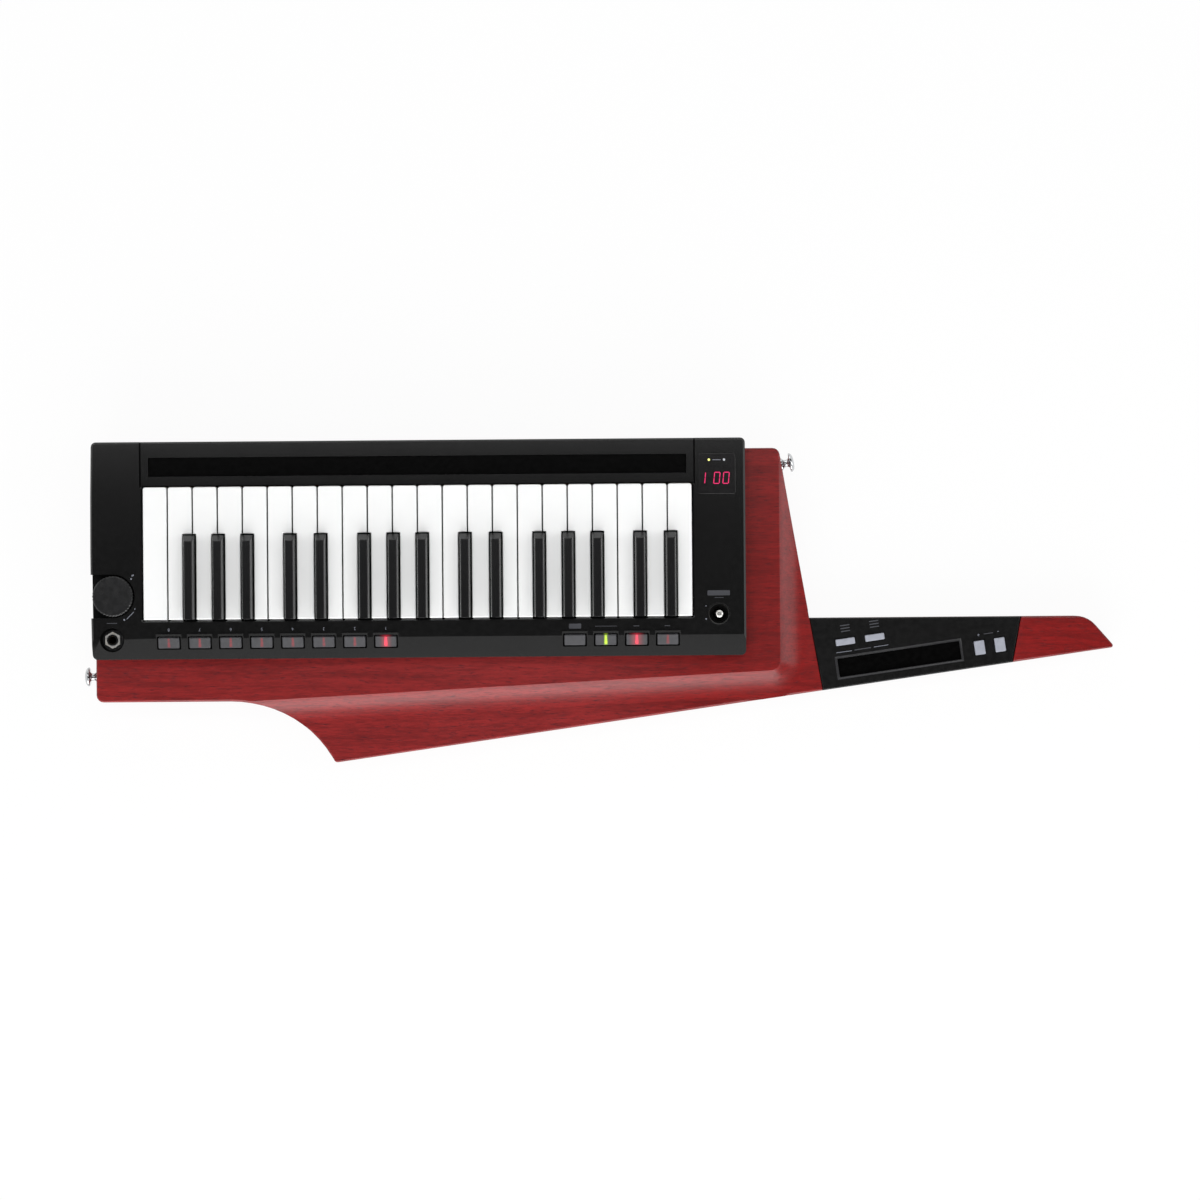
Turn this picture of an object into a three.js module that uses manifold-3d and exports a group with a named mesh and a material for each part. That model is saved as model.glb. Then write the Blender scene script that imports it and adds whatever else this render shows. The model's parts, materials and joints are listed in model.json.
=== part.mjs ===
// Keytar: a 37-key keyboard in a black case, on a carved wooden body with a short control neck.
// Lengths are in millimetres. +X runs towards the neck, +Y towards the front edges of the keys and
// +Z out of the keyboard. The origin is on the flat back, behind the middle of the keys.

import * as THREE from "three";
import { mergeVertices } from "three/addons/utils/BufferGeometryUtils.js";
import Module from "manifold-3d";

const wasm = await Module();
wasm.setup();

const degree = Math.PI / 180;
const fullTurn = 2 * Math.PI;
const half = 1 / 2;

// Fits and the fineness of round surfaces
const seatGap = 0.3;
const runningGap = 0.5;
const overrun = 6;
const facetError = 0.12;

// White and black keys, each on a rail behind its visible end
const whiteKey = {
  count: 22,
  pitch: 20.43,
  gap: 1,
  length: 108.3,
  depth: 12,
  rise: 1.5,
  cornerRadius: 1.8,
  chamfer: 0.6,
};
const blackKey = {
  width: 9.2,
  length: 68.7,
  rise: 9.5,
  skirt: 2,
  sideSlope: 1.2,
  frontSlope: 4.4,
  cornerCut: 0.7,
  chamfer: 0.5,
  sideGap: 0.95,
  frontGap: 1.3,
};
const keyTail = {
  fromCrease: 6.4,
  railFromEnd: 3,
  depth: 4.5,
  sideCut: 0.6,
};
// Each black key's centre, in white key widths up from its octave's lowest note
const blackCentreShares = [0.87, 2.1, 3.81, 4.97, 6.13];
const whitesPerOctave = 7;

// Keyboard case
const caseBox = {
  height: 22.7,
  leftWidth: 41.6,
  rightWidth: 43,
  rearDeck: 31.3,
  frontDeck: 36,
  cornerRadius: 4,
  endCrown: 1,
  topChamfer: 1.6,
  roof: 3,
  wall: 5,
};
const well = {
  sideGap: 0.5,
  frontGap: 1.2,
  rearGap: 1.2,
  chamfer: 0.9,
};
const bay = {
  depth: 1.5,
  sideRun: 2,
  grooveWidth: 1.2,
  grooveDepth: 1.6,
  frontChamfer: 1.4,
};
const apron = {
  run: 17.1,
  angle: 18,
};
const longRibbon = {
  length: 439.5,
  width: 15.1,
  slotDepth: 3,
  thickness: 1.5,
  fromFront: 20.7,
};

// Push buttons on the apron
const caseButton = {
  length: 17.2,
  width: 9,
  pitch: 25.35,
  fromLeftEnd: 62.8,
  fromRightEnd: 64.2,
  belowCrease: 3.8,
  gap: 1.2,
  cornerRadius: 0.8,
  proud: 0.9,
  chamfer: 0.5,
  flange: 1.2,
  flangeLip: 1.8,
  roof: 3.2,
  shelf: 2.4,
  lip: 3.5,
  frame: 0.6,
  travel: 0.8,
};
const programButtonCount = 8;
const functionButtonCount = 4;

// Volume knob, phones jack, display and value lever on the case's two ends
const knob = {
  radius: 16.8,
  ribDepth: 0.5,
  ribCount: 40,
  chamfer: 0.9,
  recessDepth: 11,
  proud: 2.4,
  spindleRadius: 3,
  spindleLength: 6,
  fromEnd: 17.4,
  fromRear: 51.9,
};
const jack = {
  nutFlats: 12,
  nutHeight: 2.6,
  collarRadius: 4.4,
  collarRise: 1.1,
  boreRadius: 3.3,
  barrelAboveBase: 2.7,
  floor: 2,
  recessRadius: 9.9,
  recessDepth: 7,
  fromEnd: 16.3,
  fromRear: 16.1,
};
const display = {
  width: 33.4,
  thickness: 1.2,
  cornerRadius: 1.6,
  fromEnd: 7.9,
  fromWell: 5.1,
  fromFront: 29.4,
};
const lever = {
  ballRadius: 3.6,
  stemRadius: 1.8,
  tipRadius: 3,
  tipLength: 4.5,
  pivotDepth: 12,
  proud: 12.5,
  dimpleRadius: 9.3,
  dimpleRing: 7.6,
  dimpleRingDepth: 1.8,
  socketRadius: 4.4,
  socketDepth: 8,
  fromEnd: 22.3,
  fromRear: 34,
};

// Wooden body and neck
const wood = {
  thickness: 34,
  neckThickness: 24,
  edgeRound: 1.6,
  cornerRadius: 6,
  leftOverhang: 0.4,
  frontInset: 7.7,
  rearShelf: 35.5,
  rightShelf: 28.7,
  edgeAngle: 10.1,
  shoulderDrop: 140.5,
};
const cove = {
  width: 24,
  steps: 8,
  rearMargin: 12.7,
  rearAngle: 2.95,
  cornerRadius: 8,
};
const horn = {
  start: 110.4,
  radius: 96,
  turn: 59,
  straight: 3.9,
  tipRadius: 3,
};
const neck = {
  reach: 306.8,
  lowerEdgeAngle: 8,
  tipRun: 22.8,
  tipRadius: 1.8,
  tipShoulderRadius: 22,
};

// Neck panel and its controls
const neckPanel = {
  length: 175.2,
  endAngle: 10.5,
  thickness: 2.6,
  chamfer: 0.9,
};
const shortRibbon = {
  length: 101.4,
  width: 14.9,
  thickness: 1.2,
  frame: 2.2,
  frameRise: 0.6,
  frameSlope: 1.2,
  along: 66.4,
  across: 16.35,
};
const ribbonButton = {
  length: 16,
  width: 5.3,
  pitch: 24.6,
  along: 24.3,
  across: 37.2,
};
const octaveFromRibbon = 16.5;
const octaveButton = {
  length: 8.5,
  width: 11.6,
  pitch: 17,
  along: shortRibbon.along + shortRibbon.length * half + octaveFromRibbon,
  across: 15.9,
};
const neckButton = {
  gap: 0.5,
  cornerRadius: 0.6,
  proud: 1.1,
  chamfer: 0.4,
  flange: 1.1,
  flangeLip: 1,
  travel: 0.8,
  switchDepth: 2.8,
};
const neckButtonPairs = 2;

// Back cover with its battery door
const backCover = {
  length: 440,
  width: 130,
  thickness: 2,
  cornerRadius: 8,
};
const battery = {
  length: 112,
  width: 52,
  ledge: 2.5,
  depth: 18,
  fromCoverEnd: 34,
  cornerRadius: 2,
  gripLength: 14,
  gripWidth: 6,
  gripDepth: 1,
};

// Chassis under the keys
const keyFrame = {
  thickness: 2.4,
  railWidth: 4,
  stopWidth: 10,
  stopRise: 0.6,
  inset: 1.2,
};

// Strap pins
const strapPin = {
  flangeRadius: 5.6,
  flangeThickness: 1.1,
  neckRadius: 3,
  shoulderRadius: 4.4,
  headRadius: 7.9,
  headThickness: 4,
  length: 11,
  flatRadius: 3,
  domeSteps: 4,
};
const tailPinFromCase = 14.6;
const shoulderPinBelowTop = 13.6;

// Derived places of the keyboard case
const keyFieldLength = whiteKey.count * whiteKey.pitch;
const wellLength = keyFieldLength + 2 * well.sideGap;
const wellWidth = well.rearGap + whiteKey.length + well.frontGap;
const caseWidth = caseBox.rearDeck + wellWidth + caseBox.frontDeck;
const caseLeft = -wellLength * half - caseBox.leftWidth;
const caseRight = wellLength * half + caseBox.rightWidth;
const caseRear = -caseWidth * half;
const caseFront = caseWidth * half;
const caseBase = wood.thickness + seatGap;
const caseTop = caseBase + caseBox.height;
const wellRear = caseRear + caseBox.rearDeck;
const wellFront = wellRear + wellWidth;
const bayTop = caseTop - bay.depth;
const crease = caseRear + apron.run;
const apronSlope = Math.tan(apron.angle * degree);

// Derived places of the keys
const keyRear = wellRear + well.rearGap;
const keyTop = caseTop + whiteKey.rise;
const keyBottom = keyTop - whiteKey.depth;
const tailEnd = crease + keyTail.fromCrease;
const railY = tailEnd + keyTail.railFromEnd;

// Derived places of the wooden body
const woodLeft = caseLeft - wood.leftOverhang;
const woodFront = caseFront - wood.frontInset;
const woodRear = caseRear - wood.rearShelf;
const plateauRight = caseRight + wood.rightShelf;
const neckTop = woodFront - wood.shoulderDrop;
const neckEnd = caseRight + neck.reach;
const edgeSlope = Math.tan(wood.edgeAngle * degree);
const lowerSlope = Math.tan(neck.lowerEdgeAngle * degree);
// The horn turns away from the rear edge on an arc, then runs straight to its rounded tip
const hornArc = horn.radius * Math.tan(horn.turn * half * degree);
const hornTipArc = horn.tipRadius * Math.tan((horn.turn + neck.lowerEdgeAngle) * half * degree);
const hornFlank = hornArc + horn.straight + hornTipArc;
const hornBreak = caseLeft + horn.start + hornArc;
const hornTipX = hornBreak + hornFlank * Math.cos(horn.turn * degree);
const hornTipY = woodRear - hornFlank * Math.sin(horn.turn * degree);

// The straight right edge of the body, and the lower edge that runs from the horn to the neck's end
const rightEdgeX = (y) => plateauRight + (woodFront - y) * edgeSlope;
const lowerEdgeY = (x) => hornTipY + (x - hornTipX) * lowerSlope;

// Helpers for outlines: lists of points, anticlockwise
const point = (x, y) => new THREE.Vector2(x, y);

function stepsForTurn(radius, turn) {
  const largest = 2 * Math.acos(1 - Math.min(facetError / radius, half));
  return Math.max(2, Math.ceil(Math.abs(turn) / largest));
}

const stepsRound = (radius) => 4 * stepsForTurn(radius, fullTurn / 4);

// An outline through the given [x, y, radius] corners, with an arc at each corner that has a radius
function roundedOutline(corners) {
  const count = corners.length;
  return corners.flatMap(([x, y, radius], index) => {
    const corner = point(x, y);
    if (!radius) return [corner];
    const [beforeX, beforeY] = corners[(index + count - 1) % count];
    const [afterX, afterY] = corners[(index + 1) % count];
    const arriving = corner.clone().sub(point(beforeX, beforeY)).normalize();
    const leaving = point(afterX, afterY).sub(corner).normalize();
    const turn = Math.atan2(arriving.cross(leaving), arriving.dot(leaving));
    const setback = radius * Math.tan(Math.abs(turn) * half);
    const start = corner.clone().addScaledVector(arriving, -setback);
    const side = Math.sign(turn);
    const centre = start.clone().add(point(-arriving.y, arriving.x).multiplyScalar(side * radius));
    const steps = stepsForTurn(radius, turn);
    return Array.from({ length: steps + 1 }, (_, step) =>
      start.clone().rotateAround(centre, (turn * step) / steps),
    );
  });
}

const rectangle = (x0, y0, x1, y1, radius = 0) =>
  roundedOutline([
    [x0, y0, radius],
    [x1, y0, radius],
    [x1, y1, radius],
    [x0, y1, radius],
  ]);

const centredRectangle = (length, width, radius = 0) =>
  rectangle(-length * half, -width * half, length * half, width * half, radius);

const circle = (radius, steps = stepsRound(radius)) =>
  Array.from({ length: steps }, (_, step) =>
    point(radius, 0).rotateAround(point(0, 0), (fullTurn * step) / steps),
  );

// The outline moved inwards by a distance, or outwards by a negative one
function inset(outline, distance) {
  const count = outline.length;
  const inward = (from, to) => {
    const along = to.clone().sub(from).normalize();
    return point(-along.y, along.x);
  };
  return outline.map((corner, index) => {
    const arriving = inward(outline[(index + count - 1) % count], corner);
    const leaving = inward(corner, outline[(index + 1) % count]);
    const mitre = distance / (1 + arriving.dot(leaving));
    return corner.clone().addScaledVector(arriving.add(leaving), mitre);
  });
}

// Helpers for solids: geometries that hold only positions and an index
function geometryFrom(positions, triangles) {
  const geometry = new THREE.BufferGeometry();
  geometry.setAttribute("position", new THREE.BufferAttribute(new Float32Array(positions), 3));
  geometry.setIndex(triangles);
  return geometry;
}

function plain(geometry) {
  geometry.deleteAttribute("normal");
  geometry.deleteAttribute("uv");
  return mergeVertices(geometry);
}

// A solid through a stack of [outline, height] sections with equal numbers of points, lowest first
function loft(sections) {
  const count = sections[0][0].length;
  const positions = sections.flatMap(([outline, height]) => outline.flatMap(({ x, y }) => [x, y, height]));
  const triangles = [];
  for (let level = 1; level < sections.length; level += 1) {
    for (let index = 0; index < count; index += 1) {
      const next = (index + 1) % count;
      const low = (level - 1) * count;
      const high = level * count;
      triangles.push(low + index, low + next, high + next);
      triangles.push(low + index, high + next, high + index);
    }
  }
  const top = (sections.length - 1) * count;
  const [lowest] = sections[0];
  const [highest] = sections[sections.length - 1];
  THREE.ShapeUtils.triangulateShape(lowest, []).forEach(([a, b, c]) => triangles.push(c, b, a));
  THREE.ShapeUtils.triangulateShape(highest, []).forEach(([a, b, c]) =>
    triangles.push(top + a, top + b, top + c),
  );
  return geometryFrom(positions, triangles);
}

// A solid over one outline, through a list of [height, inset] levels
const stack = (outline, levels) =>
  loft(levels.map(([height, distance]) => [inset(outline, distance), height]));

function plate(outline, low, high) {
  const geometry = new THREE.ExtrudeGeometry(new THREE.Shape(outline), {
    depth: high - low,
    bevelEnabled: false,
  });
  return plain(geometry.translate(0, 0, low));
}

// A plate whose upper edge is cut back
const chamferedPlate = (outline, low, high, chamfer) =>
  stack(outline, [
    [low, 0],
    [high - chamfer, 0],
    [high, chamfer],
  ]);

// A bar along X, from its outline in Y and Z
function bar(outline, x0, x1) {
  const towardsX = new THREE.Matrix4().makeBasis(
    new THREE.Vector3(0, 1, 0),
    new THREE.Vector3(0, 0, 1),
    new THREE.Vector3(1, 0, 0),
  );
  return plate(outline, x0, x1).applyMatrix4(towardsX);
}

// A solid of revolution about Z, from [radius, height] points that start and end on the axis
function turned(profile, steps) {
  const points = profile.map(([radius, height]) => point(radius, height));
  return plain(new THREE.LatheGeometry(points, steps).rotateX(fullTurn / 4));
}

function manifoldOf(geometry) {
  const mesh = new wasm.Mesh({
    numProp: 3,
    vertProperties: new Float32Array(geometry.getAttribute("position").array),
    triVerts: new Uint32Array(geometry.index.array),
  });
  return new wasm.Manifold(mesh);
}

function geometryOf(manifold) {
  const mesh = manifold.getMesh();
  return geometryFrom(mesh.vertProperties, Array.from(mesh.triVerts));
}

const join = (body, ...others) =>
  geometryOf(others.reduce((joined, other) => joined.add(manifoldOf(other)), manifoldOf(body)));

const cut = (body, ...tools) =>
  geometryOf(tools.reduce((rest, tool) => rest.subtract(manifoldOf(tool)), manifoldOf(body)));

const common = (body, other) => geometryOf(manifoldOf(body).intersect(manifoldOf(other)));

// Frames of the two slanted control areas
const apronFrame = new THREE.Group();
apronFrame.position.set(0, crease, caseTop);
apronFrame.rotation.x = apron.angle * degree;
apronFrame.updateMatrix();

const neckFrame = new THREE.Group();
const panelCornerX =
  (rightEdgeX(hornTipY) + edgeSlope * lowerSlope * hornTipX) / (1 + edgeSlope * lowerSlope);
neckFrame.position.set(panelCornerX, lowerEdgeY(panelCornerX), wood.neckThickness);
neckFrame.rotation.z = neck.lowerEdgeAngle * degree;
neckFrame.updateMatrix();

const onApron = (geometry) => geometry.applyMatrix4(apronFrame.matrix);
const onNeck = (geometry) => geometry.applyMatrix4(neckFrame.matrix);

// Materials, with the colours of the real surfaces
const finish = (color, roughness, metalness = 0) =>
  new THREE.MeshStandardMaterial({ color, roughness, metalness });

const materials = {
  redWood: finish(0x7a2321, 0.45),
  blackCase: finish(0x222324, 0.5),
  blackPlate: finish(0x1c1d1e, 0.55),
  whitePlastic: finish(0xf4f4f2, 0.3),
  blackPlastic: finish(0x1d1d1e, 0.35),
  greyRubber: finish(0x5c5c61, 0.6),
  silverPlastic: finish(0xa7a9b1, 0.4, 0.3),
  glossBlack: finish(0x08080a, 0.12),
  nickel: finish(0xc9c7c2, 0.22, 1),
  greyPlastic: finish(0x3c3c3f, 0.5),
};

const keytar = new THREE.Group();
keytar.add(apronFrame, neckFrame);

function addPart(name, geometry, material, parent = keytar) {
  const mesh = new THREE.Mesh(geometry, material.clone());
  mesh.name = name;
  parent.add(mesh);
  return mesh;
}

// The body's outline: tail, horn, lower edge, neck tip, neck top and the slanting right edge
function woodOutline() {
  return roundedOutline([
    [woodLeft, woodRear, wood.cornerRadius],
    [hornBreak, woodRear, horn.radius],
    [hornTipX, hornTipY, horn.tipRadius],
    [neckEnd, lowerEdgeY(neckEnd), neck.tipRadius],
    [neckEnd - neck.tipRun, neckTop, neck.tipShoulderRadius],
    [rightEdgeX(neckTop), neckTop],
    [rightEdgeX(woodFront), woodFront, wood.cornerRadius],
    [woodLeft, woodFront, wood.cornerRadius],
  ]);
}

// A slab over the body's outline with its edges eased
function easedSlab(thickness) {
  const round = wood.edgeRound;
  return stack(woodOutline(), [
    [0, round * half],
    [round * half, 0],
    [thickness - round, 0],
    [thickness - round / 3, round / 3],
    [thickness, round],
  ]);
}

// The raised plateau under the case, with a hollow cove down to the level of the neck. The cove's
// arc leaves the neck's level smoothly, and its rims pass just above and below the two flat levels.
function covedPlateau() {
  const rim = wood.thickness + facetError;
  const rise = rim - wood.neckThickness + facetError;
  const slope = Math.tan(cove.rearAngle * degree);
  const cornerY = caseRear - cove.rearMargin;
  const left = woodLeft - cove.width - overrun;
  const front = woodFront + cove.width + overrun;
  const outline = roundedOutline([
    [left, cornerY - (plateauRight - left) * slope],
    [plateauRight, cornerY, cove.cornerRadius],
    [plateauRight, front],
    [left, front],
  ]);
  const rimTurn = 2 * Math.atan(rise / cove.width);
  const radius = cove.width / Math.sin(rimTurn);
  const levels = Array.from({ length: cove.steps + 1 }, (_, step) => {
    const turn = (rimTurn * step) / cove.steps;
    return [rim - rise + radius * (1 - Math.cos(turn)), radius * Math.sin(turn) - cove.width];
  });
  return stack(outline, [[wood.neckThickness - overrun, -cove.width], ...levels]);
}

// The neck panel's outline in the body's frame: it spans the neck from its top to its lower edge
function neckPanelOutline() {
  const endSlope = Math.tan(neckPanel.endAngle * degree);
  const left = rightEdgeX(neckTop);
  const right = left + neckPanel.length;
  const drop = neckTop - hornTipY + lowerSlope * hornTipX;
  const lowerRight = (right - endSlope * drop) / (1 - endSlope * lowerSlope);
  return [
    point(left, neckTop),
    point(panelCornerX, lowerEdgeY(panelCornerX)),
    point(lowerRight, lowerEdgeY(lowerRight)),
    point(right, neckTop),
  ];
}

// The rebate for the neck panel runs out over both long edges of the neck
function neckRebate() {
  const [topLeft, lowerLeft, lowerRight, topRight] = neckPanelOutline();
  const stretch = (from, to, distance) => to.clone().sub(from).setLength(distance).add(to);
  const outline = [
    stretch(lowerLeft, topLeft, overrun),
    stretch(topLeft, lowerLeft, overrun),
    stretch(topRight, lowerRight, overrun),
    stretch(lowerRight, topRight, overrun),
  ];
  outline[0].x -= seatGap;
  outline[1].x -= seatGap;
  outline[2].x += seatGap;
  outline[3].x += seatGap;
  const floor = wood.neckThickness - neckPanel.thickness - seatGap;
  return plate(outline, floor, wood.neckThickness + overrun);
}

const neckButtonRows = [
  { name: "ribbon_button", size: ribbonButton },
  { name: "octave_button", size: octaveButton },
];

// Pockets in the neck for the stems of its buttons
function neckPockets() {
  const flangeLow = -neckPanel.thickness - seatGap - neckButton.flange;
  const low = flangeLow - neckButton.travel - neckButton.switchDepth;
  const room = 2 * (neckButton.flangeLip + runningGap);
  return neckButtonRows.flatMap(({ size }) =>
    Array.from({ length: neckButtonPairs }, (_, index) => {
      const pocket = plate(centredRectangle(size.length + room, size.width + room), low, 0);
      return onNeck(pocket.translate(size.along + index * size.pitch, size.across, 0));
    }),
  );
}

const batteryX = battery.fromCoverEnd + (battery.length - backCover.length) * half;

const batteryOutline = (margin) =>
  rectangle(
    batteryX - battery.length * half + margin,
    -battery.width * half + margin,
    batteryX + battery.length * half - margin,
    battery.width * half - margin,
    battery.cornerRadius,
  );

function woodenBody() {
  const upper = common(easedSlab(wood.thickness), covedPlateau());
  const coverRecess = plate(
    centredRectangle(
      backCover.length + 2 * seatGap,
      backCover.width + 2 * seatGap,
      backCover.cornerRadius + seatGap,
    ),
    -overrun,
    backCover.thickness + seatGap,
  );
  const compartment = plate(batteryOutline(battery.ledge), 0, battery.depth);
  const slab = join(easedSlab(wood.neckThickness), upper);
  return cut(slab, coverRecess, compartment, neckRebate(), ...neckPockets());
}

// Outline of the case, with a slight crown on its left end
function caseOutline() {
  const crownShares = [0.75, 0.5, 0.25];
  const crown = crownShares.map((share) => [
    caseLeft - caseBox.endCrown * (1 - (2 * share - 1) ** 2),
    caseRear + caseWidth * share,
    0,
  ]);
  return roundedOutline([
    [caseLeft, caseRear, caseBox.cornerRadius],
    [caseRight, caseRear, caseBox.cornerRadius],
    [caseRight, caseFront, caseBox.cornerRadius],
    [caseLeft, caseFront, caseBox.cornerRadius],
    ...crown,
  ]);
}

// What is cut away above the apron's sloping face
function aboveApron() {
  const far = caseRear - overrun;
  const outline = [
    point(crease, caseTop),
    point(crease, caseTop + overrun),
    point(far, caseTop + overrun),
    point(far, caseTop - (crease - far) * apronSlope),
  ];
  const reach = caseBox.endCrown + overrun;
  return bar(outline, caseLeft - reach, caseRight + reach);
}

const programButtonX = (index) => caseLeft + caseButton.fromLeftEnd + index * caseButton.pitch;
const functionButtonX = (index) =>
  caseRight - caseButton.fromRightEnd - (functionButtonCount - 1 - index) * caseButton.pitch;
const caseButtonPlaces = [
  ...Array.from({ length: programButtonCount }, (_, index) => programButtonX(index)),
  ...Array.from({ length: functionButtonCount }, (_, index) => functionButtonX(index)),
];

// The apron rises past the crease into a low hood over each button
function buttonHood(x) {
  const width = caseButton.length + 2 * (caseButton.gap + caseButton.frame);
  const low = caseTop - caseBox.roof;
  const onSlope = (y) => point(y, caseTop + (y - crease) * apronSlope);
  const back = crease + caseButton.lip;
  const outline = [
    point(crease - caseButton.lip, low),
    point(back, low),
    onSlope(back),
    onSlope(crease - caseButton.lip),
  ];
  return bar(outline, x - width * half, x + width * half);
}

function buttonWindow(x) {
  const outline = centredRectangle(
    caseButton.length + 2 * caseButton.gap,
    caseButton.width + 2 * caseButton.gap,
    caseButton.cornerRadius,
  );
  const window = plate(outline, -caseBox.height * half, overrun);
  return onApron(window.translate(x, -caseButton.belowCrease, 0));
}

// A channel under the windows that holds the flanges of the buttons
function buttonChannel() {
  const width = caseButton.width + 2 * (caseButton.flangeLip + runningGap);
  const outline = centredRectangle(wellLength, width);
  const channel = plate(outline, -caseBox.height * half, -caseButton.roof);
  return onApron(channel.translate(0, -caseButton.belowCrease, 0));
}

// The hollow of the case: the keybed's space and a lower one under the apron
function caseHollow() {
  const x = wellLength * half;
  const apronRoof = caseTop - caseButton.belowCrease * 2 * apronSlope - caseBox.roof - caseBox.wall;
  const keyed = plate(
    rectangle(-x, crease, x, wellFront),
    caseBase - overrun,
    caseTop - caseBox.roof,
  );
  const low = plate(
    rectangle(-x, caseRear + caseBox.wall, x, crease + overrun),
    caseBase - overrun,
    apronRoof,
  );
  return join(keyed, low);
}

function wellCut() {
  const outline = rectangle(-wellLength * half, wellRear, wellLength * half, wellFront, well.chamfer);
  return stack(outline, [
    [caseBase, 0],
    [caseTop - well.chamfer, 0],
    [caseTop, -well.chamfer],
    [caseTop + overrun, -well.chamfer],
  ]);
}

const knobX = caseLeft + knob.fromEnd;
const knobY = caseRear + knob.fromRear;
const knobRecessFloor = caseTop - knob.recessDepth;

// A round recess for the knob that runs out through the case's left end, with the spindle's hole
function knobRecess() {
  const radius = knob.radius + 2 * runningGap;
  const round = plate(circle(radius), knobRecessFloor, caseTop + overrun);
  const way = plate(
    rectangle(
      caseLeft - caseBox.endCrown - overrun,
      knobY - radius,
      knobX,
      knobY + radius,
    ),
    knobRecessFloor,
    caseTop + overrun,
  );
  const hole = plate(
    circle(knob.spindleRadius + runningGap),
    knobRecessFloor - knob.spindleLength - runningGap,
    caseTop,
  ).translate(knobX, knobY, 0);
  return join(round.translate(knobX, knobY, 0), way, hole);
}

const jackX = caseLeft + jack.fromEnd;
const jackY = caseRear + jack.fromRear;
const jackSeat = caseTop - jack.recessDepth;
const jackLow = caseBase + jack.barrelAboveBase;

function jackRecess() {
  const wide = plate(circle(jack.recessRadius), jackSeat, caseTop + overrun);
  const deep = plate(
    circle(jack.collarRadius + seatGap),
    jackLow - seatGap,
    caseTop,
  );
  return join(wide, deep).translate(jackX, jackY, 0);
}

const displayLength = caseBox.rightWidth - display.fromEnd - display.fromWell;
const displayX = caseRight - display.fromEnd - displayLength * half;
const displayY = caseFront - display.fromFront;

const displayRecess = () =>
  plate(
    centredRectangle(
      displayLength + 2 * seatGap,
      display.width + 2 * seatGap,
      display.cornerRadius + seatGap,
    ),
    caseTop - display.thickness - seatGap,
    caseTop + overrun,
  ).translate(displayX, displayY, 0);

const leverX = caseRight - lever.fromEnd;
const leverY = caseRear + lever.fromRear;
const leverPivot = caseTop - lever.pivotDepth;

// The stepped round dimple that the value lever stands in
function leverDimple() {
  const floor = leverPivot - lever.ballRadius - runningGap;
  const profile = [
    [0, floor],
    [lever.socketRadius, floor],
    [lever.socketRadius, caseTop - lever.socketDepth],
    [lever.dimpleRing, caseTop - lever.dimpleRingDepth],
    [lever.dimpleRadius, caseTop],
    [lever.dimpleRadius, caseTop + overrun],
    [0, caseTop + overrun],
  ];
  return turned(profile, stepsRound(lever.dimpleRadius)).translate(leverX, leverY, 0);
}

const longRibbonY = caseFront - longRibbon.fromFront;

const longRibbonSlot = () =>
  plate(
    centredRectangle(longRibbon.length + 2 * seatGap, longRibbon.width + 2 * seatGap),
    bayTop - longRibbon.slotDepth,
    caseTop + overrun,
  ).translate(0, longRibbonY, 0);

// The sunken bay between the two ends of the case, in front of the keys, with a groove along each
// end and a chamfered front edge
function bayCut() {
  const x = wellLength * half + bay.sideRun;
  const rear = wellFront - well.frontGap;
  const front = caseFront + overrun;
  const pocket = plate(rectangle(-x, rear, x, front), bayTop, caseTop + overrun);
  const grooves = [-x, x - bay.grooveWidth].map((left) =>
    plate(
      rectangle(left, rear, left + bay.grooveWidth, front),
      bayTop - bay.grooveDepth,
      bayTop + overrun,
    ),
  );
  const edge = [
    point(caseFront - bay.frontChamfer - overrun, bayTop + overrun),
    point(front, bayTop - bay.frontChamfer - overrun),
    point(front, bayTop + overrun),
  ];
  return join(pocket, bar(edge, -x, x), ...grooves);
}

function frontCase() {
  const block = chamferedPlate(caseOutline(), caseBase, caseTop, caseBox.topChamfer);
  const sloped = cut(block, aboveApron(), bayCut());
  const hooded = join(sloped, ...caseButtonPlaces.map(buttonHood));
  return cut(
    hooded,
    caseHollow(),
    buttonChannel(),
    wellCut(),
    longRibbonSlot(),
    knobRecess(),
    jackRecess(),
    displayRecess(),
    leverDimple(),
    ...caseButtonPlaces.map(buttonWindow),
  );
}

// Keys run from the low notes beside the neck to the high notes at the tail
const noteX = (whites) => keyFieldLength * half - whites * whiteKey.pitch;

const blackKeyPlaces = [];
for (let octaveStart = 0; octaveStart + whitesPerOctave < whiteKey.count; octaveStart += whitesPerOctave) {
  blackCentreShares.forEach((share) => blackKeyPlaces.push(noteX(octaveStart + share)));
}

// A white key from its visible rear end to its front edge, narrowed beside the black keys
function whiteKeyGeometry(centre) {
  const side = (whiteKey.pitch - whiteKey.gap) * half;
  const reach = blackKey.width * half + blackKey.sideGap;
  const notch = blackKey.length + blackKey.frontGap;
  const offsets = blackKeyPlaces.map((x) => x - centre).filter((x) => Math.abs(x) < side + reach);
  const left = Math.max(-side, ...offsets.filter((x) => x < 0).map((x) => x + reach));
  const right = Math.min(side, ...offsets.filter((x) => x > 0).map((x) => x - reach));
  const outline = [
    [left, 0],
    [right, 0],
    ...(right < side ? [[right, notch], [side, notch]] : []),
    [side, whiteKey.length, whiteKey.cornerRadius],
    [-side, whiteKey.length, whiteKey.cornerRadius],
    ...(left > -side ? [[-side, notch], [left, notch]] : []),
  ];
  const key = chamferedPlate(roundedOutline(outline), keyBottom, keyTop, whiteKey.chamfer);
  return join(key, keyTailGeometry(left, right));
}

// The low tail that passes under the case to the key's rail
function keyTailGeometry(left, right) {
  const outline = rectangle(
    left + keyTail.sideCut,
    tailEnd - keyRear,
    right - keyTail.sideCut,
    keyTail.depth,
  );
  return plate(outline, keyBottom, keyBottom + keyTail.depth);
}

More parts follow.
